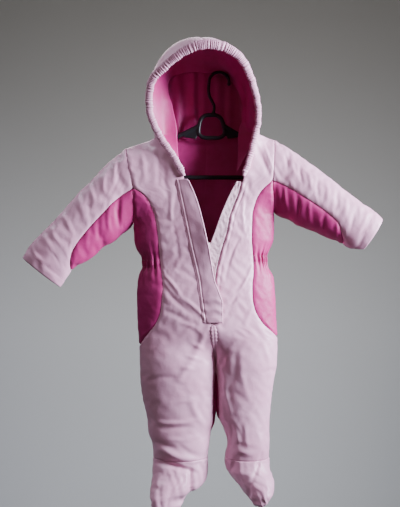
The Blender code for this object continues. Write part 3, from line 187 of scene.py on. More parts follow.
Fold = namedtuple("Fold", "face x1 z1 x2 z2 width height")
FRONT_FOLDS = [
    # right sleeve: thin ridges running down from its upper edge, and small tucks above the gore's seam
    (-181, -178, -184, -212, 6, 1.5), (-203, -204, -203, -240, 5, 1.8), (-216, -214, -212, -236, 4, -1.2),
    (-232, -226, -222, -264, 6, 1.7), (-256, -246, -240, -284, 6, 1.9), (-272, -264, -262, -282, 4, -1.2),
    (-288, -282, -266, -318, 6, 1.7), (-310, -304, -288, -340, 6, 1.8), (-330, -322, -300, -356, 6, 1.5),
    (-350, -344, -324, -376, 6, 1.3), (-172, -196, -196, -254, 4, -1.1), (-236, -252, -232, -282, 4, -1.0),
    (-172, -250, -176, -300, 9, -3.0), (-190, -258, -194, -316, 5, 1.8), (-210, -284, -214, -330, 5, -1.8),
    (-232, -306, -238, -350, 5, 1.3), (-262, -336, -266, -366, 4, -1.2),
    # left sleeve: the same, in the light
    (150, -160, 156, -190, 5, -1.4), (164, -172, 170, -206, 6, 1.3), (180, -188, 184, -222, 5, -1.7),
    (196, -200, 200, -236, 6, 1.4), (214, -214, 214, -250, 5, -1.6), (232, -222, 230, -262, 6, 1.5),
    (252, -238, 246, -276, 5, -1.6), (270, -250, 260, -290, 6, 1.3), (290, -268, 276, -306, 5, -1.5),
    (308, -282, 292, -318, 5, 1.1), (133, -214, 138, -272, 8, -2.8), (150, -226, 158, -276, 5, 1.7),
    (172, -240, 176, -284, 5, -1.7), (198, -256, 200, -296, 5, 1.4), (226, -280, 226, -312, 5, -1.5),
    (252, -298, 250, -326, 5, 1.1),
    # right chest: drag folds from the neck and a dark crease beside the armhole
    (-104, -136, -96, -224, 6, -2.2), (-104, -138, -76, -196, 6, 1.0), (-82, -164, -66, -230, 5, 1.5),
    (-66, -230, -70, -312, 6, 1.2), (-86, -170, -78, -250, 6, -1.6), (-132, -156, -124, -216, 8, 1.2),
    (-76, -284, -58, -366, 7, -1.0),
    # belly and hips: long drag lines that run in under the flap's lower end
    (-86, -400, -50, -446, 5, 1.6), (-50, -446, -8, -482, 5, 2.0), (-92, -416, -30, -478, 6, -1.4),
    (-52, -494, -18, -506, 4, 2.0), (-84, -470, -40, -492, 6, -0.9),
    # left chest and belly
    (98, -132, 122, -208, 7, -2.2), (110, -138, 136, -206, 5, 1.5), (84, -176, 80, -236, 6, -1.4),
    (70, -240, 74, -330, 7, 1.0), (88, -382, 46, -448, 5, 2.2), (84, -396, 38, -476, 6, -1.6),
    (94, -456, 70, -504, 6, 1.8), (60, -330, 34, -410, 6, -1.3), (34, -470, 58, -452, 5, 1.4),
    (20, -500, 30, -540, 5, 1.3),
    # right leg: a ladder of short folds beside one long ridge, then folds across the shin
    (-8, -520, -54, -602, 8, 3.6), (-32, -534, -8, -548, 4, 2.4), (-44, -558, -16, -568, 4, 2.3),
    (-54, -578, -26, -588, 4, 2.2), (-62, -606, -34, -606, 4, 1.8), (-112, -606, -70, -598, 7, -1.0),
    (-60, -650, -20, -644, 5, 1.3), (-34, -640, -12, -690, 8, 2.2), (-98, -690, -22, -684, 6, 2.6),
    (-88, -702, -30, -698, 6, -2.0), (-78, -722, -20, -716, 6, 1.6), (-100, -730, -50, -738, 6, -1.3),
    (-90, -742, -24, -762, 11, 5.5), (-60, -728, -20, -756, 5, -1.8), (-98, -768, -30, -784, 7, -4.6),
    # right foot: a crumpled vamp in front and a deep hollow beside the heel
    (-35, -780, -35, -846, 5.5, -10.0), (-74, -784, -58, -832, 4.5, 2.6), (-62, -780, -48, -836, 4.5, 2.8),
    (-66, -800, -78, -848, 4, -2.0), (-46, -800, -56, -858, 5, 1.6), (-92, -800, -88, -850, 5, -1.3),
    (-20, -776, -12, -816, 6, 1.8),
    # left leg: a long bright ridge, a hollow beside it and pleats above the ankle
    (14, -548, 34, -600, 6, 2.6), (34, -600, 44, -672, 7, 2.6), (56, -546, 48, -612, 8, -1.9),
    (32, -560, 20, -606, 5, -2.0), (26, -640, 30, -700, 6, 1.5), (62, -560, 80, -640, 8, 1.3),
    (50, -680, 58, -742, 4, 1.8), (44, -690, 46, -736, 4, -1.8), (66, -690, 64, -736, 4, -1.6),
    (74, -694, 78, -744, 4, 1.2), (58, -744, 86, -752, 7, 2.4), (50, -730, 90, -740, 5, -1.1),
    (108, -534, 124, -600, 6, 1.4), (112, -590, 138, -590, 4, -1.8), (96, -700, 108, -736, 6, 1.0),
    # left foot: a seam-like crease down its length and gathers at the toe
    (106, -750, 80, -806, 4, -3.0), (80, -806, 76, -842, 4, -2.4), (62, -760, 70, -806, 5, 1.4),
    (54, -756, 44, -790, 6, -1.4), (84, -824, 94, -858, 3.5, 1.6), (94, -818, 104, -852, 3.5, 1.5),
    (104, -808, 114, -842, 3.5, 1.4), (72, -826, 84, -860, 3.5, 1.5), (90, -770, 112, -800, 8, 1.2)]
BACK_FOLDS = [
    # the hidden back has folds of the same kind
    (-98, -190, -70, -290, 7, 2.0), (96, -186, 66, -280, 7, -1.8), (-60, -160, -30, -240, 6, -1.5),
    (62, -160, 40, -236, 6, 1.5), (-84, -400, -24, -462, 6, 2.2), (-70, -420, -14, -486, 6, -1.5),
    (88, -396, 30, -466, 6, 2.2), (74, -420, 20, -490, 6, -1.6), (-30, -340, 40, -352, 7, 1.2),
    (-106, -500, -50, -530, 7, 1.8), (50, -540, 108, -512, 7, 1.8), (-100, -590, -44, -604, 6, -1.6),
    (46, -600, 110, -590, 6, -1.6), (-108, -630, -40, -652, 7, 2.2), (40, -646, 108, -630, 7, 2.0),
    (-100, -680, -34, -676, 6, -1.6), (48, -690, 108, -680, 6, 1.6), (-98, -724, -26, -712, 7, 2.6),
    (52, -716, 108, -728, 7, 2.4), (-96, -744, -30, -738, 6, -1.8), (-182, -184, -186, -226, 5, 1.5),
    (-206, -208, -202, -250, 5, -1.5), (-232, -230, -224, -276, 6, 1.6), (-260, -254, -244, -300, 5, 1.6),
    (-286, -284, -266, -326, 6, -1.4), (-314, -310, -290, -352, 6, 1.6), (160, -172, 164, -212, 5, 1.5),
    (184, -190, 184, -236, 5, -1.5), (210, -208, 208, -254, 6, 1.6), (236, -226, 230, -272, 5, -1.4),
    (262, -246, 252, -290, 6, 1.6), (286, -266, 272, -310, 5, 1.3)]
FOLDS = ([Fold(FRONT, *line) for line in FRONT_FOLDS]
         + [Fold(BACK, *line) for line in BACK_FOLDS])


# ---------------------------------------------------------------- reading the tables
def blend(start, end, slope_start, slope_end, f):
    """The cubic from start to end at the shares f, with the given slopes at its ends."""
    return (start * (1 + 2 * f) * (1 - f) ** 2 + slope_start * f * (1 - f) ** 2
            + end * f * f * (3 - 2 * f) + slope_end * f * f * (f - 1))


class Track:
    """A smooth curve through one column of a table, which never swings past its rows."""

    def __init__(self, rows, along, column):
        order = np.argsort([getattr(row, along) for row in rows])
        self.places = np.array([getattr(rows[i], along) for i in order], float)
        self.values = np.array([getattr(rows[i], column) for i in order], float)
        slopes = np.diff(self.values) / np.diff(self.places)
        self.slopes = np.zeros(len(self.values))
        self.slopes[0], self.slopes[-1] = slopes[0], slopes[-1]
        for i in range(1, len(slopes)):
            before, after = slopes[i - 1], slopes[i]
            if before * after > 0:
                self.slopes[i] = 2 * before * after / (before + after)

    def __call__(self, place):
        place = np.clip(place, self.places[0], self.places[-1])
        i = np.clip(np.searchsorted(self.places, place) - 1, 0, len(self.places) - 2)
        step = self.places[i + 1] - self.places[i]
        return blend(self.values[i], self.values[i + 1], self.slopes[i] * step, self.slopes[i + 1] * step,
                     (place - self.places[i]) / step)


def ease(value):
    """A smooth step from 0 to 1."""
    value = np.clip(value, 0.0, 1.0)
    return value * value * (3 - 2 * value)


def bell(away, width):
    """1 on a line and fading to both sides of it."""
    return np.exp(-(away / width) ** 2)


def unit(vectors):
    return vectors / np.maximum(np.linalg.norm(vectors, axis=-1, keepdims=True), 1e-12)


Side = namedtuple("Side", "name sign outer inner arm_line arm_top arm_under shoulder_front shoulder_back "
                          "panel_seam panel_tip front_edge sleeve gore waist toe_end")


def make_side(name, sign, outline, arm_line, shoulder, panel_seam, front_edge, sleeve, waist):
    """Gathers what is read along one side of the wearer; a panel's tip is its seam's last row."""
    return Side(name, sign, Track(outline, "z", "outer"), Track(outline, "z", "inner"),
                Track(arm_line, "z", "x"), sleeve[0].top_z, sleeve[0].under_z,
                Track(shoulder, "x", "front"), Track(shoulder, "x", "back"), Track(panel_seam, "z", "x"),
                panel_seam[-1].z, Track(front_edge, "z", "x"),
                {column: Track(sleeve, "station", column) for column in Sleeve._fields[1:]},
                Track(GORE, "station", name), waist, outline[-1].z)


SIDES = [
    make_side("right", RIGHT, OUTLINE_RIGHT, ARM_LINE_RIGHT, SHOULDER_RIGHT, PANEL_SEAM_RIGHT,
              FRONT_EDGE_RIGHT, SLEEVE_RIGHT, WAIST_RIGHT),
    make_side("left", LEFT, OUTLINE_LEFT, ARM_LINE_LEFT, SHOULDER_LEFT, PANEL_SEAM_LEFT,
              FRONT_EDGE_LEFT, SLEEVE_LEFT, WAIST_LEFT)]

centre_line = Track(CENTRE_LINE, "z", "x")
front_depth = Track(BODY_DEPTH, "z", "front")
back_depth = Track(BODY_DEPTH, "z", "back")
foot_turn = Track(BODY_DEPTH, "z", "turn")


def foot_place(side, z):
    """Where in the depth table a height is read: each foot's own length is stretched to the table's."""
    stretch = (BODY_DEPTH[-1].z - ANKLE_HEIGHT) / (side.toe_end - ANKLE_HEIGHT)
    return np.where(z < ANKLE_HEIGHT, ANKLE_HEIGHT + (z - ANKLE_HEIGHT) * stretch, z)


def half_depth(side, z):
    place = foot_place(side, z)
    return (front_depth(place) + back_depth(place)) / 2


def middle(side, z):
    place = foot_place(side, z)
    return (back_depth(place) - front_depth(place)) / 2


# ---------------------------------------------------------------- the body surface
def arm_depth(side, z):
    """Half the armhole's depth at a height, 0 at its top and at the armpit."""
    centre = (side.arm_top + side.arm_under) / 2
    reach = (side.arm_top - side.arm_under) / 2
    return ARM_HALF_DEPTH * np.sqrt(np.clip(1 - ((z - centre) / reach) ** 2, 0, 1))


def across(u, z):
    """How far out from the centre line u lies: a quarter round on the body, a half round on a leg."""
    leg = ease((LEG_STARTS - z) / (LEG_STARTS - LEG_WHOLE))
    return (1 - leg) * np.sin(math.pi * u / 2) + leg * (1 - np.cos(math.pi * u)) / 2


def body_x(side, u, z):
    outer = np.where(z > side.arm_under, side.arm_line(z), side.outer(z))
    inner = np.where(z > CROTCH_HEIGHT, centre_line(z), side.inner(z))
    return inner + (outer - inner) * across(u, z)


ARMPIT_SOFTENING = 48.0


def shoulder_height(side, face, x):
    """Height of the shoulder seam; front and back share it outside the neck."""
    front = side.shoulder_front(x)
    if face == FRONT:
        return front
    outside = ease((np.abs(x) - 76) / 20)
    return side.shoulder_back(x) * (1 - outside) + front * outside


def smooth_body_point(side, face, u, z):
    """A point of the body without its folds; u runs from the centre or inner leg (0) to the side (1)."""
    u, z = np.broadcast_arrays(np.asarray(u, float), np.asarray(z, float))
    leg = ease((LEG_STARTS - z) / (LEG_STARTS - LEG_WHOLE))
    x = body_x(side, u, z)
    shoulder = shoulder_height(side, face, x)
    drop = np.clip((shoulder - z) / SHOULDER_ROUNDING, 0, 1)
    rounding = np.sqrt(1 - (1 - drop) ** 2)
    if face == BACK:
        nape = NECK_DEPTH_BACK * np.sqrt(np.clip(1 - (x / NECK_HALF_WIDTH) ** 2, 0, 1)) / half_depth(side, z)
        rounding = nape + (1 - nape) * rounding
    deep = (1 - leg) * np.cos(math.pi * u / 2) + leg * np.sin(math.pi * u)
    fade = ease((z - side.arm_under) / ARMPIT_SOFTENING)
    outwards = np.sin(math.pi * u / 2)
    arm = arm_depth(side, z) * outwards * np.sqrt(fade + (1 - fade) * outwards ** 8)
    y = (middle(side, z) * np.clip(drop * 2, 0, 1) + foot_turn(foot_place(side, z)) * (across(u, z) - 0.5)
         + face * np.sqrt((half_depth(side, z) * rounding * deep) ** 2 + arm ** 2))
    return np.stack([x, y, z], axis=-1)


def body_normal(side, face, u, z):
    """The outward direction, from small steps along the surface."""
    step_u, step_z = 0.01, 0.5
    u, z = np.broadcast_arrays(np.asarray(u, float), np.asarray(z, float))
    along = (smooth_body_point(side, face, np.clip(u + step_u, 0, 1), z)
             - smooth_body_point(side, face, np.clip(u - step_u, 0, 1), z))
    up = smooth_body_point(side, face, u, z + step_z) - smooth_body_point(side, face, u, z - step_z)
    return unit(np.cross(along, up)) * side.sign * -face


FOLD_CREST, FOLD_FOOT = 1.45, 0.38
CREST_WIDTH, FOOT_WIDTH = 0.62, 1.6
FOLD_BOW, FOLD_STEEP = 0.045, 1.25


def fold_height(points, normals):
    """How far the folds lift the cloth: each is a soft ridge or hollow along a line of the table."""
    lift = np.zeros(points.shape[:-1])
    for fold in FOLDS:
        start = np.array([fold.x1, fold.z1], float)
        run = np.array([fold.x2, fold.z2], float) - start
        offset = points[..., [0, 2]] - start
        length = math.sqrt(run @ run)
        along = np.clip((offset @ run) / length ** 2, 0, 1)
        sideways = (offset @ np.array([-run[1], run[0]])) / length
        bow_side = math.copysign(1, math.sin(fold.x1 * 1.7 + fold.z1))
        bow = FOLD_BOW * length * np.sin(math.pi * along) * bow_side
        beyond = np.linalg.norm(offset - along[..., None] * run, axis=-1) ** 2 - sideways ** 2
        distance = np.sqrt(np.maximum(beyond, 0) + (sideways - bow) ** 2)
        distance = distance * np.where(sideways > bow, FOLD_STEEP, 1 / FOLD_STEEP)
        facing = ease(normals[..., 1] * fold.face * 1.6)
        crest = bell(distance, fold.width * CREST_WIDTH)
        foot = bell(distance, fold.width * FOOT_WIDTH)
        fading = 0.35 + 0.65 * np.sin(math.pi * along)
        lift += fold.height * facing * fading * (FOLD_CREST * crest - FOLD_FOOT * foot)
    return lift


LEGS_TOUCH = 2.6


def body_surface(side, face, u, z):
    """Outer points of the body's cloth and their outward directions."""
    points = smooth_body_point(side, face, u, z)
    normals = body_normal(side, face, u, z)
    leg = ease((LEG_STARTS - points[..., 2]) / (LEG_STARTS - LEG_WHOLE))
    beside_inner_leg = 1 - leg * (1 - ease(np.broadcast_to(u, leg.shape) * 5))
    lift = fold_height(points, normals) * beside_inner_leg
    z = points[..., 2]
    touching = ease((CROTCH_HEIGHT + 4 - z) / 14) * ease((z + 742) / 40)
    lift = lift + LEGS_TOUCH * touching * bell(u, 0.12)
    return points + normals * lift[..., None], normals


HALVINGS = 30


def u_of_x(side, x, z):
    """The place u across the body at which it is x wide, found by halving."""
    low, high = np.zeros_like(np.asarray(x, float)), np.ones_like(np.asarray(x, float))
    for _ in range(HALVINGS):
        centre = (low + high) / 2
        beyond = (body_x(side, centre, z) - x) * side.sign > 0
        high = np.where(beyond, centre, high)
        low = np.where(beyond, low, centre)
    return (low + high) / 2


def front_face(x, z):
    """The depth of the front's outer face at any x and z near the centre."""
    x, z = np.broadcast_arrays(np.asarray(x, float), np.asarray(z, float))
    depths = [body_surface(side, FRONT, u_of_x(side, x, z), z)[0][..., 1] for side in SIDES]
    return np.where(x < centre_line(z), *depths)


# ---------------------------------------------------------------- the sleeve surface
def smooth_sleeve_point(side, station, angle):
    """A point of a sleeve without its folds; angle 0 is its top, a quarter turn its front."""
    station, angle = np.broadcast_arrays(np.asarray(station, float), np.asarray(angle, float))
    read = side.sleeve
    top = np.stack([read["top_x"](station), read["top_z"](station)], axis=-1)
    under = np.stack([read["under_x"](station), read["under_z"](station)], axis=-1)
    flat = (top + under) / 2 + (top - under) / 2 * np.cos(angle)[..., None]
    join = np.clip(1 - station, 0, 1) ** 2
    first_centre = (side.arm_top + side.arm_under) / 2
    ring_z = first_centre + (side.arm_top - side.arm_under) / 2 * np.cos(angle)
    first_x = (read["top_x"](0) + read["under_x"](0)) / 2
    first_x = first_x + (read["top_x"](0) - read["under_x"](0)) / 2 * np.cos(angle)
    x = flat[..., 0] + join * (side.arm_line(ring_z) - first_x)
    shoulder = side.shoulder_front(side.arm_line(ring_z))
    ring_middle = middle(side, ring_z) * np.clip((shoulder - ring_z) / SHOULDER_ROUNDING * 2, 0, 1)
    y = ring_middle * join + read["forward"](station) * (1 - join) - read["depth"](station) * np.sin(angle)
    return np.stack([x, y, flat[..., 1]], axis=-1)


def sleeve_surface(side, station, angle):
    """Outer points of a sleeve's cloth and their outward directions, from small steps along it."""
    station, angle = np.broadcast_arrays(np.asarray(station, float), np.asarray(angle, float))
    step, last = 0.02, SLEEVE_RIGHT[-1].station
    points = smooth_sleeve_point(side, station, angle)
    along = (smooth_sleeve_point(side, np.minimum(station + step, last), angle)
             - smooth_sleeve_point(side, np.maximum(station - step, 0), angle))
    around = (smooth_sleeve_point(side, station, angle + step)
              - smooth_sleeve_point(side, station, angle - step))
    normals = unit(np.cross(along, around)) * -side.sign
    return points + normals * fold_height(points, normals)[..., None], normals


# ---------------------------------------------------------------- the hood surface
def length_along(line):
    """How far each point of a line lies from its start."""
    return np.concatenate([[0], np.cumsum(np.linalg.norm(np.diff(line, axis=0), axis=1))])


def read_line(wanted, places, line):
    """A line whose points stand at rising places, read at the wanted ones."""
    return np.stack([np.interp(wanted, places, column) for column in line.T], axis=-1)


def spread(points, count):
    """The same line read at equal steps along its length."""
    lengths = length_along(points)
    return read_line(np.linspace(0, lengths[-1], count), lengths, points)


def casing_line(count):
    """The middle of the face opening's casing, from the right neck end over the top to the left one."""
    knots = np.array(CASING, float)
    lengths = length_along(knots)
    slopes = np.gradient(knots, lengths, axis=0)
    fine = []
    for i in range(len(knots) - 1):
        step = lengths[i + 1] - lengths[i]
        f = np.linspace(0, 1, 12, endpoint=False)[:, None]
        fine.append(blend(knots[i], knots[i + 1], slopes[i] * step, slopes[i + 1] * step, f))
    fine.append(knots[-1:])
    return spread(np.concatenate(fine), count)


def casing_frame(line):
    """Along, outward (away from the face) and forward directions at each point of the casing's line."""
    along = unit(np.gradient(line, axis=0))
    outward = line.copy()
    outward[:, 0] -= FACE_CENTRE[0]
    outward[:, 1] = 0
    outward[:, 2] -= FACE_CENTRE[1]
    outward = unit(outward - along * np.sum(outward * along, axis=1, keepdims=True))
    return along, outward, unit(np.cross(along, outward))


ARCH_SAMPLES = 41
CASING_SAMPLES, COARSE_SAMPLES = 601, 401


def arch_half(arch, base_x, base_z, wide_x, wide_z):
    """Half an arch: up from its foot on the neckline to its widest place, then over to the top."""
    lower = np.linspace(0, 1, 12, endpoint=False)
    upper = np.linspace(0, math.pi / 2, 24)
    x = np.concatenate([base_x + (wide_x - base_x) * np.sin(math.pi * lower / 2),
                        arch.top_x + (wide_x - arch.top_x) * np.cos(upper) ** 0.85])
    z = np.concatenate([base_z + (wide_z - base_z) * lower,
                        wide_z + (arch.top_z - wide_z) * np.sin(upper) ** 0.95])
    rise = (z - base_z) / (arch.top_z - base_z)
    y = arch.base_y + (arch.top_y - arch.base_y) * rise
    return spread(np.stack([x, y, z], axis=-1), ARCH_SAMPLES)


def edge_arch(edge):
    """The stretch of a line beside the casing that the hood is sewn to, up one side and down the other."""
    first, last = (int(share * (len(edge) - 1)) for share in (HOOD_EDGE_START, HOOD_EDGE_END))
    top = first + int(np.argmax(edge[first:last, 2]))
    return np.concatenate([spread(edge[first:top + 1], ARCH_SAMPLES),
                           spread(edge[top:last + 1], ARCH_SAMPLES)[1:]])


def hood_arches():
    """Every arch of the hood, front to back, each from its right foot over the top to its left foot."""
    line = casing_line(CASING_SAMPLES)
    _, outward, forward = casing_frame(line)
    if forward[CASING_SAMPLES // 2, 1] > 0:
        forward = -forward
    arches = [edge_arch(line + outward * HOOD_EDGE_OFFSET - forward * HOOD_EDGE_BEHIND)]
    for arch in HOOD_ARCHES:
        right = arch_half(arch, arch.base_right, arch.base_right_z, arch.right_x, arch.right_z)
        left = arch_half(arch, arch.base_left, arch.base_left_z, arch.left_x, arch.left_z)
        arches.append(np.concatenate([right, left[::-1][1:]]))
    return np.array(arches)


HOOD = hood_arches()


def hood_point(part, place):
    """A point of the hood: part 0 to 1 along an arch, place from the face edge (0) to the neck's back."""
    part, place = np.broadcast_arrays(np.asarray(part, float), np.asarray(place, float))
    column = np.clip(part, 0, 1) * (HOOD.shape[1] - 1)
    low = np.clip(column.astype(int), 0, HOOD.shape[1] - 2)
    f = (column - low)[..., None]
    lines = HOOD[:, low] * (1 - f) + HOOD[:, low + 1] * f
    slopes = np.gradient(lines, axis=0)
    place = np.clip(place, 0, len(HOOD) - 1)
    i = np.clip(place.astype(int), 0, len(HOOD) - 2)
    here, after = (i, *np.indices(place.shape)), (i + 1, *np.indices(place.shape))
    return blend(lines[here], lines[after], slopes[here], slopes[after], (place - i)[..., None])


HOOD_LAYERS = PADDED_WALL + LINING_CLEARANCE + THIN_WALL


def hood_surface(part, place):
    """Outer points of the hood's shell, which clears the arches by all its layers, and the way they face."""
    step_part, step_place, last = 0.004, 0.03, len(HOOD) - 1
    along = (hood_point(np.minimum(part + step_part, 1), place)
             - hood_point(np.maximum(part - step_part, 0), place))
    back = (hood_point(part, np.minimum(place + step_place, last))
            - hood_point(part, np.maximum(place - step_place, 0)))
    normals = unit(np.cross(along, back))
    return hood_point(part, place) + normals * HOOD_LAYERS, normals


# ---------------------------------------------------------------- finishes
THREADS, SWIRL = 520.0, 0.06


def new_finish(name, colour, roughness):
    """A material, its node tree and its shader."""
    finish = bpy.data.materials.new(name)
    finish.use_nodes = True
    shader = finish.node_tree.nodes["Principled BSDF"]
    shader.inputs["Base Color"].default_value = (*colour, 1.0)
    shader.inputs["Roughness"].default_value = roughness
    return finish, finish.node_tree, shader


def add_node(tree, kind, **values):
    """A node with its sockets, or else its own settings, at the given values."""
    node = tree.nodes.new(kind)
    for name, value in values.items():
        socket = node.inputs.get(name.replace("_", " "))
        if socket is not None:
            socket.default_value = value
        else:
            setattr(node, name, value)
    return node


def connect(tree, *wires):
    """Joins nodes, each wire given as a node and its output, then a node and its input."""
    for source, output, target, socket in wires:
        tree.links.new(source.outputs[output], target.inputs[socket])


def add_shades(tree, *stops):
    """A colour ramp with two stops, each a place and a colour."""
    shades = tree.nodes.new("ShaderNodeValToRGB")
    for element, (place, colour) in zip(shades.color_ramp.elements, stops):
        element.position = place
        element.color = (*colour, 1.0)
    return shades


def make_relief_group():
    """Cloth relief: soft crinkles, a fine crush, and the threads of the weave along the cloth's own map."""
    group = bpy.data.node_groups.new("cloth_relief", "ShaderNodeTree")
    for name in ("Crinkle", "Crush", "Thread"):
        group.interface.new_socket(name, in_out="INPUT", socket_type="NodeSocketFloat").min_value = 0.0
    group.interface.new_socket("Normal", in_out="OUTPUT", socket_type="NodeSocketVector")
    group.interface.new_socket("Mottle", in_out="OUTPUT", socket_type="NodeSocketFloat")
    source = group.nodes.new("NodeGroupInput")
    result = group.nodes.new("NodeGroupOutput")
    place = group.nodes.new("ShaderNodeTexCoord")
    crinkle = add_node(group, "ShaderNodeTexNoise", Scale=85.0, Detail=3.0, Roughness=0.5, Distortion=1.2)
    facets = add_node(group, "ShaderNodeTexVoronoi", feature="SMOOTH_F1", Scale=42.0, Smoothness=0.3)
    swirl = add_node(group, "ShaderNodeTexNoise", Scale=14.0, Detail=2.0)
    swirled = add_node(group, "ShaderNodeVectorMath", operation="MULTIPLY_ADD")
    swirled.inputs[1].default_value = (SWIRL, SWIRL, SWIRL)
    crush = add_node(group, "ShaderNodeTexNoise", Scale=330.0, Detail=2.0, Roughness=0.6, Distortion=0.6)
    mottle = add_node(group, "ShaderNodeTexNoise", Scale=22.0, Detail=4.0, Roughness=0.6)
    warp = add_node(group, "ShaderNodeTexWave", Scale=THREADS, bands_direction="X")
    weft = add_node(group, "ShaderNodeTexWave", Scale=THREADS, bands_direction="Y")
    threads = add_node(group, "ShaderNodeMath", operation="MULTIPLY")
    connect(group, (place, "Object", swirl, "Vector"), (swirl, "Color", swirled, 0),
            (place, "Object", swirled, 2), (swirled, "Vector", facets, "Vector"),
            (place, "Object", crinkle, "Vector"),
            (place, "Object", crush, "Vector"), (place, "Object", mottle, "Vector"),
            (place, "UV", warp, "Vector"), (place, "UV", weft, "Vector"),
            (warp, "Fac", threads, 0), (weft, "Fac", threads, 1), (mottle, "Fac", result, "Mottle"))
    below = None
    for texture, socket, distance in ((facets, "Crinkle", 0.0034), (crinkle, "Crinkle", 0.0030),
                                      (crush, "Crush", 0.0006), (threads, "Thread", 0.00006)):
        bump = add_node(group, "ShaderNodeBump", Distance=distance)
        connect(group, (source, socket, bump, "Strength"), (texture, 0, bump, "Height"))
        if below is not None:
            connect(group, (below, "Normal", bump, "Normal"))
        below = bump
    connect(group, (below, "Normal", result, "Normal"))
    return group


def cloth_finish(name, light, dark, roughness, sheen, crinkle, crush, thread):
    """A dyed cloth whose colour wavers a little between two shades."""
    finish, tree, shader = new_finish(name, light, roughness)
    relief = tree.nodes.new("ShaderNodeGroup")
    relief.node_tree = CLOTH_RELIEF
    for socket, value in (("Crinkle", crinkle), ("Crush", crush), ("Thread", thread)):
        relief.inputs[socket].default_value = value
    shades = add_shades(tree, (0.36, dark), (0.62, light))
    connect(tree, (relief, "Mottle", shades, "Fac"), (shades, "Color", shader, "Base Color"),
            (relief, "Normal", shader, "Normal"))
    for socket, value in (("Sheen Weight", sheen), ("Sheen Roughness", 0.35),
                          ("Sheen Tint", (1.0, 0.93, 0.97, 1.0)), ("Specular IOR Level", 0.5)):
        shader.inputs[socket].default_value = value
    return finish


def plastic_finish(name, colour, roughness):
    """Moulded plastic: its gloss is broken by a fine grain and faint rub marks."""
    finish, tree, shader = new_finish(name, colour, roughness)
    place = tree.nodes.new("ShaderNodeTexCoord")
    grain = add_node(tree, "ShaderNodeTexNoise", Scale=900.0, Detail=2.0)
    rubbed = add_node(tree, "ShaderNodeTexNoise", Scale=45.0, Detail=5.0, Roughness=0.7)
    bump = add_node(tree, "ShaderNodeBump", Strength=0.25, Distance=0.0002)
    gloss = add_node(tree, "ShaderNodeMapRange", To_Min=roughness - 0.08, To_Max=roughness + 0.12)
    connect(tree, (place, "Object", grain, "Vector"), (place, "Object", rubbed, "Vector"),
            (grain, "Fac", bump, "Height"), (bump, "Normal", shader, "Normal"),
            (rubbed, "Fac", gloss, "Value"), (gloss, "Result", shader, "Roughness"))
    return finish


CLOTH_RELIEF = make_relief_group()
PINK_SATIN = cloth_finish("pale_pink_satin", (0.80, 0.44, 0.59), (0.76, 0.39, 0.54), roughness=0.42,
                          sheen=0.15, crinkle=0.10, crush=0.10, thread=0.4)
ROSE_SATIN = cloth_finish("magenta_satin", (0.53, 0.036, 0.22), (0.46, 0.026, 0.175), roughness=0.52,
                          sheen=0.05, crinkle=0.10, crush=0.10, thread=0.4)
ROSE_LINING = cloth_finish("magenta_lining", (0.53, 0.028, 0.215), (0.45, 0.018, 0.16), roughness=0.52,
                           sheen=0.06, crinkle=0.10, crush=0.20, thread=0.4)
TAPE_WEAVE = cloth_finish("pink_zip_tape", (0.76, 0.52, 0.60), (0.64, 0.40, 0.48), roughness=0.45,
                          sheen=0.10, crinkle=0.25, crush=0.6, thread=0.9)
PINK_THREAD = cloth_finish("pink_thread", (0.62, 0.36, 0.44), (0.54, 0.30, 0.37), roughness=0.50,
                           sheen=0.10, crinkle=0.0, crush=0.2, thread=0.0)
HANGER_PLASTIC = plastic_finish("black_hanger_plastic", (0.010, 0.010, 0.012), 0.38)
ZIP_PLASTIC = plastic_finish("pink_zip_plastic", (0.74, 0.58, 0.64), 0.40)


# ---------------------------------------------------------------- laying, buckling and sewing panels
SEAM_SINK = 1.5
SEAM_REACH = 3.6
PUCKER_HEIGHT, PUCKER_PITCH = 0.55, 8.5
SETTLE_FRAMES = 22
PANELS = []


def in_frame(points):
    """Millimetres of the pattern to metres of the finished suit."""
    return (np.asarray(points, float) - (HOOK_TOP_X, 0, 0)) * MM


def run_along(points, axis):
    """How far each lattice point lies along its row or column, in millimetres."""
    steps = np.linalg.norm(np.diff(points, axis=axis), axis=-1)
    start = np.zeros_like(np.take(steps, [0], axis=axis))
    return np.concatenate([start, np.cumsum(steps, axis=axis)], axis=axis)


def edge_distance(points, sewn):
    """How far each lattice point is from the nearest sewn edge, and how far along that edge it lies.

    sewn names the first row, last row, first column and last column.
    """
    down, over = run_along(points, 0), run_along(points, 1)
    distances = np.stack([down, down[-1:] - down, over, over[:, -1:] - over])
    distances[[not is_sewn for is_sewn in sewn]] = 1e3
    nearest = np.argmin(distances, axis=0)
    return distances.min(axis=0), np.where(nearest < 2, over, down)


def seam_puckers(distance, along):
    """Small uneven tucks that run out from a seam."""
    wander = along + 2.2 * np.sin(along * 0.11) + 1.3 * np.sin(along * 0.29 + 1)
    strength = PUCKER_HEIGHT * (0.55 + 0.45 * np.sin(along * 0.047 + 0.6))
    return strength * np.sin(wander * 2 * math.pi / PUCKER_PITCH) * bell(distance - 4, 4.5)


Panel = namedtuple("Panel", "name node finish slot back_finish outer inner quads map spare hold cut")


def cell_corners(lattice):
    return lattice[:-1, :-1], lattice[:-1, 1:], lattice[1:, 1:], lattice[1:, :-1]


def measure_cut(points, kept, spare):
    """The width, length and area a panel is cut to, in metres, with the spare cloth that buckles."""
    grown = (1 + spare) * MM
    a, b, c, d = cell_corners(points)
    halves = np.cross(b - a, d - a), np.cross(b - c, d - c)
    area = (np.linalg.norm(halves[0], axis=-1) + np.linalg.norm(halves[1], axis=-1)) / 2
    width, length = run_along(points, 1)[:, -1].max() * grown, run_along(points, 0)[-1].max() * grown
    return width, length, min(area[kept].sum() * grown ** 2, width * length)


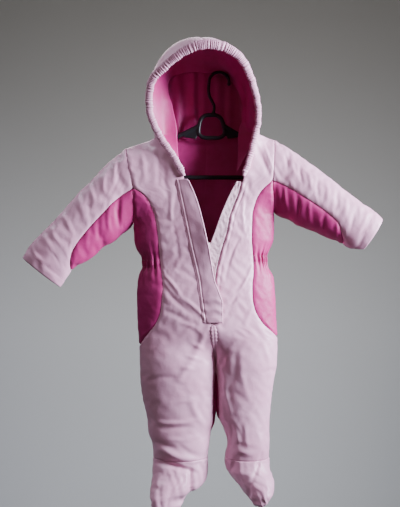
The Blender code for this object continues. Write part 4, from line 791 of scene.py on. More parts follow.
def lay_panel(name, look, points, normals, sewn, wall=PADDED_WALL, sink=0.0, spare=0.006, hold=0.22,
              index=None, split=None, distance=None, plane_side=None):
    """Sets out one panel: its outer face dips into each seam, and its inner face stays smooth.

    sink lays the panel below its surface. A split names a column of cells left out. plane_side keeps the
    panel's shoulder on its own side of the seam.
    """
    finish, slot, back_finish = look
    nearest, along = edge_distance(points, sewn)
    if distance is None:
        distance = nearest
    base = points - normals * sink
    dip = min(SEAM_SINK, wall * 0.5) * bell(distance, SEAM_REACH) - seam_puckers(distance, along)
    outer = base - normals * dip[..., None]
    inner = base - normals * wall
    if plane_side is not None:
        side, face = plane_side
        above = points[..., 2] > side.arm_under
        for lattice in (outer, inner):
            own_side = face * np.maximum(face * lattice[..., 1], 0.12)
            lattice[..., 1] = np.where(above, own_side, lattice[..., 1])
    shape = outer.shape[:2]
    if index is None:
        index = np.arange(shape[0] * shape[1]).reshape(shape)
    kept = np.ones((shape[0] - 1, shape[1] - 1), bool)
    if split is not None:
        kept[:, split] = False
    quads = np.stack([corner[kept] for corner in cell_corners(index)], axis=-1)
    weights = np.clip(hold + (1 - hold) * bell(distance, 4.0), 0, 1)
    border = np.zeros(shape, bool)
    border[[0, -1], :] = True
    border[:, [0, -1]] = True
    weights[border] = 1.0
    uv = np.stack([run_along(points, 1), run_along(points, 0)], axis=-1) * MM
    PANELS.append(Panel(f"{name}_cloth", name, finish, slot, back_finish, outer, inner, quads, uv, spare,
                        weights, measure_cut(points, kept, spare)))


def cloth_mesh(name, points, faces):
    """An object with the given corners, in metres, and faces."""
    mesh = bpy.data.meshes.new(name)
    corners = [tuple(int(i) for i in face) for face in faces]
    mesh.from_pydata(np.asarray(points, float).tolist(), [], corners)
    mesh.update()
    cloth = bpy.data.objects.new(name, mesh)
    bpy.context.scene.collection.objects.link(cloth)
    return cloth


def ripple(points):
    """A faint start to the buckling, the same each time, so that no panel stays perfectly smooth."""
    x, y, z = points[..., 0], points[..., 1], points[..., 2]
    return (np.sin(x * 0.31 + np.sin(z * 0.11) * 2.0) + np.sin(z * 0.27 + np.sin(x * 0.13 + y * 0.2) * 2.4)
            + np.sin((x + z) * 0.19 + y * 0.3)) / 3


SATIN = dict(quality=5, mass=0.06, tension_stiffness=18, compression_stiffness=18, shear_stiffness=8,
             bending_stiffness=3.0, tension_damping=4, compression_damping=4, shear_damping=4,
             bending_damping=0.4, air_damping=2, vertex_group_mass="held", pin_stiffness=1.0,
             use_pressure=True, uniform_pressure_force=0.25)


def buckle_panels():
    """Each panel is cut a little larger than its form and held along its seams, so spare cloth buckles."""
    cloths = []
    for panel in PANELS:
        outer = panel.outer.reshape(-1, 3)
        away = unit(outer - panel.inner.reshape(-1, 3))
        started = outer + away * (ripple(outer) * 0.3 * (panel.hold.reshape(-1) < 0.9))[:, None]
        used, compact = np.unique(panel.quads, return_inverse=True)
        quads = compact.reshape(panel.quads.shape)
        cloth = cloth_mesh(f"{panel.name}_settling", in_frame(started[used]), quads)
        group = cloth.vertex_groups.new(name="held")
        weights = np.round(panel.hold.reshape(-1)[used], 2)
        for level in np.unique(weights):
            group.add([int(i) for i in np.nonzero(weights == level)[0]], float(level), "REPLACE")
        settle = cloth.modifiers.new("settle", "CLOTH").settings
        for setting, value in SATIN.items():
            setattr(settle, setting, value)
        settle.shrink_min = -panel.spare
        settle.effector_weights.gravity = 0
        cloths.append((panel, cloth, used))
    scene = bpy.context.scene
    for step in range(1, SETTLE_FRAMES + 1):
        scene.frame_set(step)
    settled = {}
    graph = bpy.context.evaluated_depsgraph_get()
    for panel, cloth, used in cloths:
        evaluated = cloth.evaluated_get(graph)
        moved = np.zeros(len(used) * 3, np.float32)
        evaluated.data.vertices.foreach_get("co", moved)
        outer = panel.outer.reshape(-1, 3).copy()
        outer[used] = moved.reshape(-1, 3).astype(float) / MM + (HOOK_TOP_X, 0, 0)
        settled[panel.name] = outer.reshape(panel.outer.shape)
        bpy.data.objects.remove(cloth)
    scene.frame_set(1)
    return settled


# how far the buckling may move a point out, in and along the cloth
MOST_OUT, MOST_IN, MOST_ALONG = 5.0, 2.0, 2.5
SEWN = {}


def write_map(mesh, flat_map):
    """Gives a mesh its flat map, from one pair of numbers for each of its points."""
    corners = np.zeros(len(mesh.loops), np.int32)
    mesh.loops.foreach_get("vertex_index", corners)
    layer = mesh.uv_layers.new(name="weave")
    layer.data.foreach_set("uv", flat_map[corners].astype(np.float32).ravel())


def work(piece, kind, **values):
    """Puts one modifier on a selected piece and applies it."""
    modifier = piece.modifiers.new(kind.lower(), kind)
    for name, value in values.items():
        setattr(modifier, name, value)
    bpy.ops.object.modifier_apply(modifier=modifier.name)


def on_suit(piece):
    """Hangs a finished piece on the suit's one body."""
    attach(piece, "root")
    return piece


def sew_panel(panel, settled):
    """Turns a settled panel into one closed wall, smoothed once, with its map and its slots."""
    away = unit(panel.outer - panel.inner)
    moved = settled - panel.outer
    lift = np.sum(moved * away, axis=-1, keepdims=True)
    along = moved - lift * away
    slide = np.linalg.norm(along, axis=-1, keepdims=True)
    along = along * np.minimum(1.0, MOST_ALONG / np.maximum(slide, 1e-6))
    wall = np.linalg.norm(panel.outer - panel.inner, axis=-1, keepdims=True)
    lift = np.clip(lift, -np.minimum(MOST_IN, wall * 0.6), MOST_OUT)
    outer = panel.outer + along + lift * away
    SEWN[panel.name] = outer
    outer = outer.reshape(-1, 3)
    inner = (panel.inner + along * 0.5).reshape(-1, 3)
    used, compact = np.unique(panel.quads, return_inverse=True)
    compact = compact.reshape(panel.quads.shape)
    count = len(used)
    outside = compact.tolist()
    edges = dict.fromkeys(pair for a, b, c, d in outside for pair in ((a, b), (b, c), (c, d), (d, a)))
    rims = [(b, a, a + count, b + count) for a, b in edges if (b, a) not in edges]
    faces = outside + [[a + count for a in reversed(quad)] for quad in outside] + rims
    points = np.concatenate([outer[used], inner[used]])
    piece = cloth_mesh(panel.name, in_frame(points), faces)
    mesh = piece.data
    write_map(mesh, np.tile(panel.map.reshape(-1, 2)[used], (2, 1)))
    mesh.materials.append(panel.finish)
    mesh.materials.append(panel.back_finish)
    slots = np.zeros(len(mesh.polygons), np.int32)
    slots[len(compact):2 * len(compact)] = 1
    mesh.polygons.foreach_set("material_index", slots)
    mesh.shade_smooth()
    select_only(piece)
    make_outward(piece)
    work(piece, "SUBSURF", levels=1, render_levels=1)
    return piece


def select_only(*pieces):
    """Selects the given pieces, with the first one active."""
    bpy.ops.object.select_all(action="DESELECT")
    for piece in pieces:
        piece.select_set(True)
    bpy.context.view_layer.objects.active = pieces[0]


def make_outward(piece):
    """Turns every face outwards, by the sign of the volume it closes."""
    mesh = bmesh.new()
    mesh.from_mesh(piece.data)
    if mesh.calc_volume(signed=True) < 0:
        bmesh.ops.reverse_faces(mesh, faces=mesh.faces)
    mesh.to_mesh(piece.data)
    mesh.free()


# ---------------------------------------------------------------- the body's panels
UPPER_ROWS, ARMHOLE_ROWS, LINING_ROWS = 22, 15, 62
PANEL_ROW, LEG_ROW = 4.4, 4.7
BODY_COLUMNS, PANEL_COLUMNS = 30, 24
GUSSET_ROWS = 36
GUSSET_END = -716.0
GUSSET_FRONT, GUSSET_BACK, GUSSET_TIP = 0.10, 0.14, 0.12
SOLID_LEG_ROW = 25.0
WAIST_FLUTES = 11
WAIST_ROW = 7
LINING_RISE, LINING_DROP, LINING_LAP = 11.0, 7, 1.2
SHELL = (PINK_SATIN, "shell", ROSE_LINING)
SIDE_CLOTH = (ROSE_SATIN, "side_cloth", ROSE_LINING)
LINING = (ROSE_LINING, "lining", ROSE_LINING)
ZIP_TAPE = (TAPE_WEAVE, "zip_tape", TAPE_WEAVE)
ALL_SEWN = (True, True, True, True)
UNSEWN = (False, False, False, False)
LINING_DEPTH = PADDED_WALL + LINING_CLEARANCE + 1.3


def gore_angle(side, station):
    """How far round from the sleeve's top its gore begins."""
    return np.arccos(np.clip(1 - 2 * side.gore(station), -1, 1))


def armhole_height(side, angle):
    """The height on the armhole at an angle round the sleeve."""
    return (side.arm_top + side.arm_under) / 2 + (side.arm_top - side.arm_under) / 2 * np.cos(angle)


def panel_rows(side):
    """Heights of the side panel's rows, from its apex on the armhole to its lower tip."""
    beside_arm = np.linspace(armhole_height(side, gore_angle(side, 0)), side.arm_under, ARMHOLE_ROWS + 1)
    count = round((side.arm_under - side.panel_tip) / PANEL_ROW)
    below = np.linspace(side.arm_under, side.panel_tip, count + 1)
    return np.concatenate([beside_arm, below[1:]])


def leg_rows(side, pitch=LEG_ROW):
    """Heights of the rows below the side panel's tip, down to the ankle."""
    count = round((side.panel_tip - ANKLE_HEIGHT) / pitch)
    return np.linspace(side.panel_tip, ANKLE_HEIGHT, count + 1)[1:]


def gusset_span(side):
    """The heights between which the inner-leg gusset lies, as the solids have it."""
    rows = leg_rows(side, SOLID_LEG_ROW)
    rows = rows[(rows < CROTCH_HEIGHT) & (rows > GUSSET_END)]
    return rows[0], rows[-1]


def gusset_width(side, z, widest):
    """How far round the leg the gusset reaches at a height."""
    top, bottom = gusset_span(side)
    place = (top - np.asarray(z, float)) / (top - bottom)
    width = widest * np.maximum(GUSSET_TIP, np.sqrt(np.clip(np.sin(math.pi * np.clip(place, 0, 1)), 0, 1)))
    return np.where((place > -0.02) & (place < 1.02), width, 0.0)


def inner_edge(side, face, z):
    """Where a front or back begins: at its edge or the centre line, and beside the gusset on the leg."""
    if face == FRONT and z > ZIP_END_HEIGHT:
        return u_of_x(side, side.front_edge(z), z)
    return gusset_width(side, z, GUSSET_FRONT if face == FRONT else GUSSET_BACK)


def body_lattice(side, face):
    """Rows and columns of one front or back, from the shoulder and neck down to the ankle."""
    share = np.linspace(0, 1, BODY_COLUMNS + 1)
    apex = armhole_height(side, gore_angle(side, 0))
    neck = side.front_edge.places[-1] if face == FRONT else float(side.shoulder_back(0.0))
    first_u = u_of_x(side, side.front_edge(neck), neck) if face == FRONT else 0.0
    u_top = first_u + (1 - first_u) * share
    z_top = np.full_like(share, side.arm_top)
    for _ in range(8):
        z_top = shoulder_height(side, face, body_x(side, u_top, z_top))
    rows = [(u_top, z_top)]
    for k in range(1, UPPER_ROWS):
        outer_z = armhole_height(side, gore_angle(side, 0) * k / UPPER_ROWS)
        outer_share = (outer_z - side.arm_top) / (apex - side.arm_top)
        z = z_top + (apex - z_top) * (k / UPPER_ROWS * (1 - share) + outer_share * share)
        start = inner_edge(side, face, z[0])
        rows.append((start + (1 - start) * share, z))
    beside_panel = [(z, u_of_x(side, side.panel_seam(z), z)) for z in panel_rows(side)]
    for z, end in beside_panel + [(z, 1) for z in leg_rows(side)]:
        start = inner_edge(side, face, z)
        rows.append((start + (end - start) * share, np.full_like(share, z)))
    return np.array([row[0] for row in rows]), np.array([row[1] for row in rows])


ANKLE_LAP = 0.5


def crumple(along, over):
    """Small uneven dents of crushed cloth, from -1 to 1."""
    slow = np.sin(along * 0.24 + 2.0 * np.sin(along * 0.061) + over * 0.30)
    quick = np.sin(along * 0.61 + 1.5 * np.sin(over * 0.5) - over * 0.42 + 1.3)
    return 0.55 * slow + 0.45 * quick * np.sin(along * 0.17 + over * 0.2)


CASING_LAP, CASING_PULL = 1.5, 12.0
FLAP_SEAT = 3.0


def dress_front_edge(side, points, normals):
    """The front's edge runs in under the hood's casing; further down the left one is a welt beside the zip,
    and the right one dips under the flap."""
    z = points[:, :, 2]
    from_edge = run_along(points, 1)
    beside_casing = ease((z + 222) / 10)
    line = casing_line(COARSE_SAMPLES)
    line = line[:80] if side.sign == RIGHT else line[:320:-1]
    target = read_line(z[:, 0], line[:, 2], line[:, :2]) + [0, CASING_LAP]
    pull = (target - points[:, 0, :2])[:, None] * bell(from_edge, CASING_PULL)[..., None]
    points[..., :2] += pull * beside_casing[..., None]
    beside_zip = (1 - beside_casing) * ease((z + 480) / 60)
    welt = 1.5 * bell(from_edge - 3.2, 2.4) - 0.8 * bell(from_edge - 8.2, 1.3)
    crush = crumple(z, from_edge) * bell(from_edge - 7, 7) * 1.1
    if side.sign == LEFT:
        points += normals * (beside_zip * (welt + crush))[..., None]
        return
    under_flap = ease((points[..., 0] - Track(FLAP, "z", "near")(z) - 0.5) / 2.5)
    under_flap = under_flap * ease((FLAP[0].z + 3 - z) / 4) * ease((z - FLAP[-1].z - 2) / 4)
    points -= normals * (FLAP_SEAT * under_flap)[..., None]


def lay_fronts_and_backs():
    """The padded fronts and backs, and inside each back its lining as far down as it shows."""
    for side in SIDES:
        for face, name in ((FRONT, "front"), (BACK, "back")):
            u, z = body_lattice(side, face)
            points, normals = body_surface(side, face, u, z)
            normals[0] = unit(normals[0] * np.array([1.0, 0.0, 1.0]))
            if face == FRONT:
                dress_front_edge(side, points, normals)
            points[-1, :, 2] -= ANKLE_LAP
            lay_panel(f"{name}_{side.name}", SHELL, points, normals, (True, False, True, True),
                      plane_side=(side, face))
            if face == BACK:
                crop = slice(0, LINING_ROWS), slice(0, BODY_COLUMNS - 1)
                near_neck = 1 - ease((np.abs(points[0, :, 0]) - 62) / 22)
                points[0, :, 2] += LINING_RISE * near_neck
                points[:5, :, 2] -= LINING_DROP * (1 - near_neck) * np.linspace(1, 0.2, 5)[:, None]
                points[:, 0, 0] -= side.sign * LINING_LAP
                lay_panel(f"back_lining_{side.name}", LINING, points[crop], normals[crop],
                          (False, False, True, False), THIN_WALL, LINING_DEPTH, 0.03,
                          plane_side=(side, face))


def flute_height(side, turn, z):
    """The waist elastic's flutes; turn runs from the panel's front seam (0) to its back seam (1)."""
    away = z - side.waist
    wander = turn + 0.012 * np.sin(turn * 23 + side.sign) + 0.006 * np.sin(away * 0.09)
    flutes = 1.8 * np.abs(np.sin(math.pi * WAIST_FLUTES * wander)) ** 0.7 - 1.2
    uneven = 1 + 0.35 * np.sin(turn * 31 + side.sign) + 0.2 * np.sin(turn * 57)
    gather = uneven * (3.4 * bell(away, 12) + 1.4 * bell(away, 28))
    rows_sewn = -1.1 * (bell(away - WAIST_ROW, 1.6) + bell(away + WAIST_ROW, 1.6))
    near_seams = ease(turn * 12) * ease((1 - turn) * 12)
    return (flutes * gather + rows_sewn) * near_seams


def lay_side_panels():
    """Each side panel passes round the side, with an upper end in front of and behind the armhole."""
    for side in SIDES:
        rows = panel_rows(side)
        z = np.repeat(rows[:, None], PANEL_COLUMNS + 1, axis=1)
        seam_u = u_of_x(side, side.panel_seam(rows), rows)[:, None]
        share = np.linspace(0, 1, PANEL_COLUMNS + 1)
        u = seam_u + (1 - seam_u) * share
        points, normals, distances = [], [], []
        for face in (FRONT, BACK):
            surface, out = body_surface(side, face, u, z)
            turn = share / 2 if face == FRONT else 1 - share / 2
            surface = surface + out * flute_height(side, turn, z)[..., None]
            from_seam = run_along(surface, 1)
            distance = from_seam.copy()
            top = ARMHOLE_ROWS + 1
            distance[:top] = np.minimum(distance[:top], (from_seam[:, -1:] - from_seam)[:top])
            order = slice(None) if face == FRONT else slice(None, None, -1)
            points.append(surface[:, order])
            normals.append(out[:, order])
            distances.append(distance[:, order])
        points, normals = np.concatenate(points, axis=1), np.concatenate(normals, axis=1)
        distance = np.concatenate(distances, axis=1)
        index = np.arange(distance.size).reshape(distance.shape)
        index[ARMHOLE_ROWS:, PANEL_COLUMNS + 1] = index[ARMHOLE_ROWS:, PANEL_COLUMNS]
        lay_panel(f"side_panel_{side.name}", SIDE_CLOTH, points, normals, ALL_SEWN, spare=0.004, hold=0.4,
                  index=index, split=PANEL_COLUMNS, distance=distance)


def lay_inner_legs():
    """The gussets wrap round the inside of each leg from front to back."""
    for side in SIDES:
        top, bottom = gusset_span(side)
        points, normals = [], []
        for z in np.linspace(top, bottom, GUSSET_ROWS):
            front = np.linspace(float(gusset_width(side, z, GUSSET_FRONT)), 0, 5)
            back = np.linspace(0, float(gusset_width(side, z, GUSSET_BACK)), 7)[1:]
            ring = [body_surface(side, FRONT, front, z), body_surface(side, BACK, back, z)]
            points.append(np.concatenate([part[0] for part in ring]))
            normals.append(np.concatenate([part[1] for part in ring]))
        lay_panel(f"inner_leg_{side.name}", SIDE_CLOTH, np.array(points), np.array(normals), ALL_SEWN)


# ---------------------------------------------------------------- sleeves
SLEEVE_STATIONS = np.concatenate([np.round(np.linspace(0, GORE_TIP_STATION, 42), 3),
                                  np.linspace(7.35, 9.0, 12)])
HEM_STATION, HEM_WIDTH = 8.32, 0.05
SLEEVE_TOP_COLUMNS, GORE_COLUMNS = 42, 20


def lay_sleeve(side, part, look, stations, first_angle, last_angle, columns, sewn):
    """One piece of a sleeve, between two angles at each station, with its hem's stitched groove."""
    share = np.linspace(0, 1, columns + 1)
    angle = first_angle[:, None] + (last_angle - first_angle)[:, None] * share
    points, normals = sleeve_surface(side, stations[:, None], angle)
    normals[0] = unit(normals[0] * np.array([0.0, 1.0, 1.0]))
    hem = -1.3 * bell(stations - HEM_STATION, HEM_WIDTH) + 0.9 * ease((stations - HEM_STATION) / 0.12)
    points = points + normals * hem[:, None, None]
    points[0, :, 0] = side.arm_line(points[0, :, 2]) + side.sign * 0.1
    lay_panel(f"sleeve_{part}_{side.name}", look, points, normals, sewn, spare=0.014)


def lay_sleeves():
    """Each sleeve's top goes right round below the gore's tip, where the sleeve's under piece ends."""
    for side in SIDES:
        gore = gore_angle(side, SLEEVE_STATIONS)
        gore[SLEEVE_STATIONS > GORE_TIP_STATION] = math.pi
        lay_sleeve(side, "top", SHELL, SLEEVE_STATIONS, -gore, gore, SLEEVE_TOP_COLUMNS,
                   (True, False, True, True))
        stations = SLEEVE_STATIONS[SLEEVE_STATIONS <= GORE_TIP_STATION]
        angle = gore_angle(side, stations)
        lay_sleeve(side, "under", SIDE_CLOTH, stations, angle, 2 * math.pi - angle, GORE_COLUMNS, ALL_SEWN)


# ---------------------------------------------------------------- feet
HEEL_END = 0.70
HEEL_ROWS, SOLE_ROWS = 22, 13
FOOT_SEAM_U = 0.12
STRAIGHT_DOWN = (0.0, 0.0, -1.0)


def lay_feet():
    """Each foot's upper and sole meet face to face along a short seam across the toe."""
    for side in SIDES:
        places = np.concatenate([np.linspace(0, HEEL_END, HEEL_ROWS),
                                 np.linspace(HEEL_END, 1, SOLE_ROWS)[1:]])
        z = (ANKLE_HEIGHT + places * (side.toe_end - ANKLE_HEIGHT))[:, None]
        around = [(BACK, np.linspace(FOOT_SEAM_U, 0, 5)[:-1]), (FRONT, np.linspace(0, 1, 33)),
                  (BACK, np.linspace(1, 1 - FOOT_SEAM_U, 5)[1:])]
        pairs = [body_surface(side, face, u[None, :], z) for face, u in around]
        points = np.concatenate([pair[0] for pair in pairs], axis=1)
        normals = np.concatenate([pair[1] for pair in pairs], axis=1)
        normals[-1] = STRAIGHT_DOWN
        lay_panel(f"foot_upper_{side.name}", SHELL, points, normals, (False, True, True, True), spare=0.022)
        points, normals = body_surface(side, BACK, np.linspace(FOOT_SEAM_U, 1 - FOOT_SEAM_U, 27)[None, :], z)
        normals[-1] = STRAIGHT_DOWN
        for part, rows in (("heel", slice(0, HEEL_ROWS)), ("sole", slice(HEEL_ROWS - 1, None))):
            lay_panel(f"foot_{part}_{side.name}", SHELL, points[rows], normals[rows], ALL_SEWN, spare=0.03)


# ---------------------------------------------------------------- hood
HOOD_ROWS, HOOD_HALF_COLUMNS = 44, 44
HOOD_END, LINING_START, LINING_CREASE = 7, 0.06, 3.0
# how far the lining's crease comes in from the hood's form: (part, across, back, up)
CREASE_FOLD = [(0, 28, -18, 0), (0.03, 30, -18, 0), (0.08, 28, -16, 0), (0.16, 22, -12, 0), (0.3, 3, -2, -3),
               (0.4, 1, 0, -14), (0.5, 2, 0, -20), (0.6, -6, 0, -16), (0.7, -13, 0, -4), (0.84, -5, -4, 0),
               (0.92, -11, -14, 0), (0.97, -26, -18, 0), (1, -33, -18, 0)]
FACING_COLUMNS = 9
# where the facing under each foot of the hood meets the casing, and how far it stands in from there
FACINGS = [(0, 0.115, 0.035, 0.0), (-1, 0.872, 0.985, -14.0)]
HOOD_BASE_DROP, FOOT_DROP = 4.0, 2.2
EDGE_TUCK = 0.65
HOOD_BACK_FOLDS = [(-62, 5, 3.0), (-47, 6, -1.5), (-29, 5, 3.2), (-8, 7, 1.5), (22, 8, 2.4), (44, 6, 2.0)]


def edge_in_casing(part):
    """Where the casing's middle runs beside each column of the hood's front edge."""
    arch = edge_arch(casing_line(CASING_SAMPLES))
    return read_line(part, np.linspace(0, 1, len(arch)), arch)


def lay_hood():
    """The hood's two shell halves, tucked into the casing and the neck seam, and its creased lining."""
    place = np.linspace(0, HOOD_END, HOOD_ROWS)[:, None]
    for name, start in (("right", 0.0), ("left", 0.5)):
        part = np.linspace(start, start + 0.5, HOOD_HALF_COLUMNS + 1)[None, :]
        points, normals = hood_surface(part, place)
        points[-1, :, 2] -= HOOD_BASE_DROP
        foot, beside = (0, 1) if start == 0 else (-1, -2)
        for column, share in ((foot, FOOT_DROP), (beside, 1)):
            points[:, column, 2] -= share * HOOD_BASE_DROP * ease(place[:, 0] / 0.5)
        points[0] += (edge_in_casing(part[0]) - points[0]) * EDGE_TUCK
        lay_panel(f"hood_{name}", SHELL, points, normals, ALL_SEWN)
    part = np.linspace(0.0, 1.0, 2 * HOOD_HALF_COLUMNS + 1)[None, :]
    place = np.concatenate([np.linspace(LINING_START, LINING_CREASE - 0.5, 17),
                            np.linspace(LINING_CREASE - 0.5, LINING_CREASE + 0.5, 19)[1:],
                            np.linspace(LINING_CREASE + 0.5, HOOD_END, 20)[1:]])[:, None]
    points, normals = hood_surface(part, place)
    fold = np.array(CREASE_FOLD, float)
    inwards = read_line(part, fold[:, 0], fold[:, 1:])
    before = (np.clip(place, 0, LINING_CREASE) / LINING_CREASE) ** 1.3 * (place <= LINING_CREASE)
    after = bell(place - LINING_CREASE, 0.09) * (place > LINING_CREASE)
    back_wall = ease((place - LINING_CREASE) * 3) * ease((HOOD_END - place) / 1.5)
    gathers = sum(height * bell(points[..., 0] - x, width) for x, width, height in HOOD_BACK_FOLDS)
    points = (points - normals * (LINING_DEPTH + back_wall * gathers)[..., None]
              + inwards * (before + after)[..., None])
    points[-2:, :, 2] -= np.array([[HOOD_BASE_DROP], [HOOD_BASE_DROP * 2]])
    right, left = (neck_facing(points, place[:, 0], *facing) for facing in FACINGS)
    points = np.concatenate([right[:, ::-1], points, left], axis=1)
    normals = unit(np.cross(np.gradient(points, axis=1), np.gradient(points, axis=0)))
    lay_panel("hood_lining", LINING, points, normals, UNSEWN, THIN_WALL, 0.0, 0.02)


def neck_facing(points, place, foot, start, end, inset):
    """The lining runs on down inside the neck's edge, from one foot of the hood towards the casing's end."""
    share = np.clip(place / LINING_CREASE, 0, 1)
    target = read_line(start + (end - start) * share, np.linspace(0, 1, COARSE_SAMPLES),
                       casing_line(COARSE_SAMPLES))
    target += np.stack([inset * share, 8.0 + 0 * share, 0 * share], axis=-1)
    folded_back = ease((place - LINING_CREASE) / 0.3)[:, None]
    target = target * (1 - folded_back) + (points[:, foot] - [0, 0, 2.5]) * folded_back
    steps = np.linspace(0, 1, FACING_COLUMNS + 1)[1:]
    return points[:, foot][:, None] + (target - points[:, foot])[:, None] * steps[None, :, None]


# ---------------------------------------------------------------- the casing round the face
CASING_RINGS, CASING_SECTION = 1150, 16
CASING_PUCKERS = 146


def make_tube(name, rings, finish):
    """Skins a row of rings into one closed tube."""
    count, section = rings.shape[:2]
    index = np.arange(count * section).reshape(count, section)
    faces = []
    for i in range(count - 1):
        for k in range(section):
            other = (k + 1) % section
            faces.append((index[i, k], index[i, other], index[i + 1, other], index[i + 1, k]))
    faces += [tuple(index[0, ::-1]), tuple(index[-1])]
    tube = cloth_mesh(name, in_frame(rings.reshape(-1, 3)), faces)
    make_outward(tube)
    around = np.tile(np.linspace(0, 1, section, endpoint=False) * CASING_HALF_WIDTH * 4 * MM, count)
    along = np.repeat(run_along(rings[:, :1], 0)[:, 0] * MM, section)
    write_map(tube.data, np.stack([around, along], axis=-1))
    tube.data.materials.append(finish)
    tube.data.shade_smooth()
    return on_suit(tube)


def make_casing():
    """A gathered tube round the face, with uneven puckers."""
    line = casing_line(CASING_RINGS)
    _, outward, forward = casing_frame(line)
    place = np.linspace(0, 1, CASING_RINGS)
    wander = place + 0.0035 * np.sin(place * 61) + 0.0025 * np.sin(place * 137 + 1)
    pucker = np.abs(np.sin(math.pi * CASING_PUCKERS * wander)) ** 0.6
    fine = np.sin(2 * math.pi * CASING_PUCKERS * 1.7 * wander + 2 * np.sin(place * 40))
    uneven = 0.8 + 0.4 * np.sin(place * 83 + 0.5) * np.sin(place * 29)
    swell = ((pucker - 0.62) * 2.6 * uneven + 0.35 * fine)[:, None]
    ends = ease(np.minimum(place, 1 - place)[:, None] / 0.02)
    beside = 0.80 - 0.10 * ease((place[:, None] - 0.4) / 0.3)
    crown = (beside + (1.12 - beside) * bell(place[:, None] - 0.5, 0.17)) * (0.55 + 0.45 * ends)
    swell = swell * ends
    line = line + outward * (np.sin(place * 190) * np.sin(place * 47) * 0.7)[:, None]
    rings = []
    for step in range(CASING_SECTION):
        angle = 2 * math.pi * (step + 0.5) / CASING_SECTION
        flatness = abs(math.sin(angle))
        towards_face = max(0.0, -math.cos(angle))
        width = CASING_HALF_WIDTH * crown * (1 + 0.25 * max(0.0, math.cos(angle)))
        rings.append(line + outward * (width + swell * (0.3 + 0.7 * towards_face)) * math.cos(angle)
                     + forward * (CASING_HALF_THICKNESS + swell * flatness) * math.sin(angle))
    casing = make_tube("hood_casing_cloth", np.stack(rings, axis=1), PINK_SATIN)
    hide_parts("hood_casing")


# ---------------------------------------------------------------- the front opening
def strip_lattice(near, far, heights, share):
    """Points of a strip on the front's face, from its near edge to its far one."""
    x = near(heights)[:, None] * (1 - share) + far(heights)[:, None] * share
    z = np.repeat(heights[:, None], len(share), axis=1)
    return np.stack([x, front_face(x, z), z], axis=-1)


FLAP_ROWS, BAND_ROWS, BAND_COLUMNS, TAPE_COLUMNS = 88, 96, 13, 7
FLAP_STANDS_OFF = 4.5
FLAP_STITCHED = 2.2, 6.6
FLAP_PUCKERS = [(-447, 0.6), (-456, -0.5), (-466, 0.9), (-475, -0.5), (-485, 0.7)]


def lay_front_opening():
    """The flap, with its stitched fold and gathered lower end, and the two sides of the zip."""
    right, left = SIDES
    forward = np.array(FORWARD)
    heights = np.linspace(FLAP[0].z, FLAP[-1].z, FLAP_ROWS)
    share = np.concatenate([np.linspace(0, 0.2, 12), np.linspace(0.2, 1, 14)[1:]])
    points = strip_lattice(Track(FLAP, "z", "near"), Track(FLAP, "z", "far"), heights, share)
    place = share[None, :] + 0 * heights[:, None]
    across = points[..., 0] - points[:, :1, 0]
    puff = 0.9 * np.sin(math.pi * place) ** 0.6
    sewn_rows = -1.0 * (bell(across - FLAP_STITCHED[0], 0.8) + bell(across - FLAP_STITCHED[1], 0.8))
    sewn_down = -2.6 * (1 - ease((across - 4) / 34)) - 1.0 * (1 - ease(across / 1.6))
    tilt = heights[:, None] + 5 * place + 2.5 * np.sin(place * 7)
    puckers = sum(height * bell(tilt - z, 4.2) for z, height in FLAP_PUCKERS) * ease(place * 3)
    waves = 1.6 * ease((place - 0.5) * 2) * np.sin((heights[:, None] - FLAP[0].z) / 24.0)
    lift = FLAP_CLEARANCE + FLAP_WALL + puff + sewn_rows + sewn_down + puckers
    open_part = ease((heights[:, None] + 478) / 90)
    lift = lift + (waves + FLAP_STANDS_OFF * place ** 1.4) * open_part

    def lay_strip(name, look, points, wall, hold):
        normals = np.broadcast_to(forward, points.shape)
        lay_panel(name, look, points, normals, UNSEWN, wall, spare=0.01, hold=hold)

    lay_strip("placket_flap", (PINK_SATIN, "shell", PINK_SATIN), points + forward * lift[..., None],
              FLAP_WALL, 0.85)
    heights = np.linspace(ZIP_EDGES[0].z, ZIP_EDGES[-1].z, BAND_ROWS)
    band, tape = Track(ZIP_EDGES, "z", "band"), Track(ZIP_EDGES, "z", "tape")
    share = np.linspace(0, 1, BAND_COLUMNS)
    points = strip_lattice(lambda z: left.front_edge(z) - TAPE_INSET, band, heights, share)
    wander = heights[:, None] * 0.9 + 5 * np.sin(heights[:, None] * 0.07)
    crushed = crumple(wander, share[None, :] * 12) * np.sin(math.pi * share)[None, :] ** 0.5
    points = points + forward * (1.1 * crushed + 0.8 * share[None, :] ** 4)[..., None]
    lay_strip("zip_band_left", ZIP_TAPE, points - forward * TAPE_SUNK, TAPE_WALL, 0.7)
    points = strip_lattice(lambda z: right.front_edge(z) + TAPE_INSET, tape, heights,
                           np.linspace(0, 1, TAPE_COLUMNS))
    lay_strip("zip_tape_right", ZIP_TAPE, points - forward * TAPE_SUNK, TAPE_WALL, 0.7)


def add_box(name, size, place, bevel):
    """A bevelled block of the given size, in millimetres."""
    bpy.ops.object.select_all(action="DESELECT")
    bpy.ops.mesh.primitive_cube_add(size=1, location=in_frame(place))
    block = bpy.context.object
    block.name = name
    block.scale = [side * MM for side in size]
    bpy.ops.object.transform_apply(location=True, rotation=True, scale=True)
    work(block, "BEVEL", width=bevel * MM, segments=2)
    return block


def join_pieces(name, pieces, finish):
    """Joins repeated pieces into one, at the origin, on the suit."""
    select_only(*pieces)
    bpy.ops.object.join()
    whole = pieces[0]
    whole.name = name
    whole.data.materials.clear()
    whole.data.materials.append(finish)
    whole.data.shade_smooth()
    return on_suit(whole)


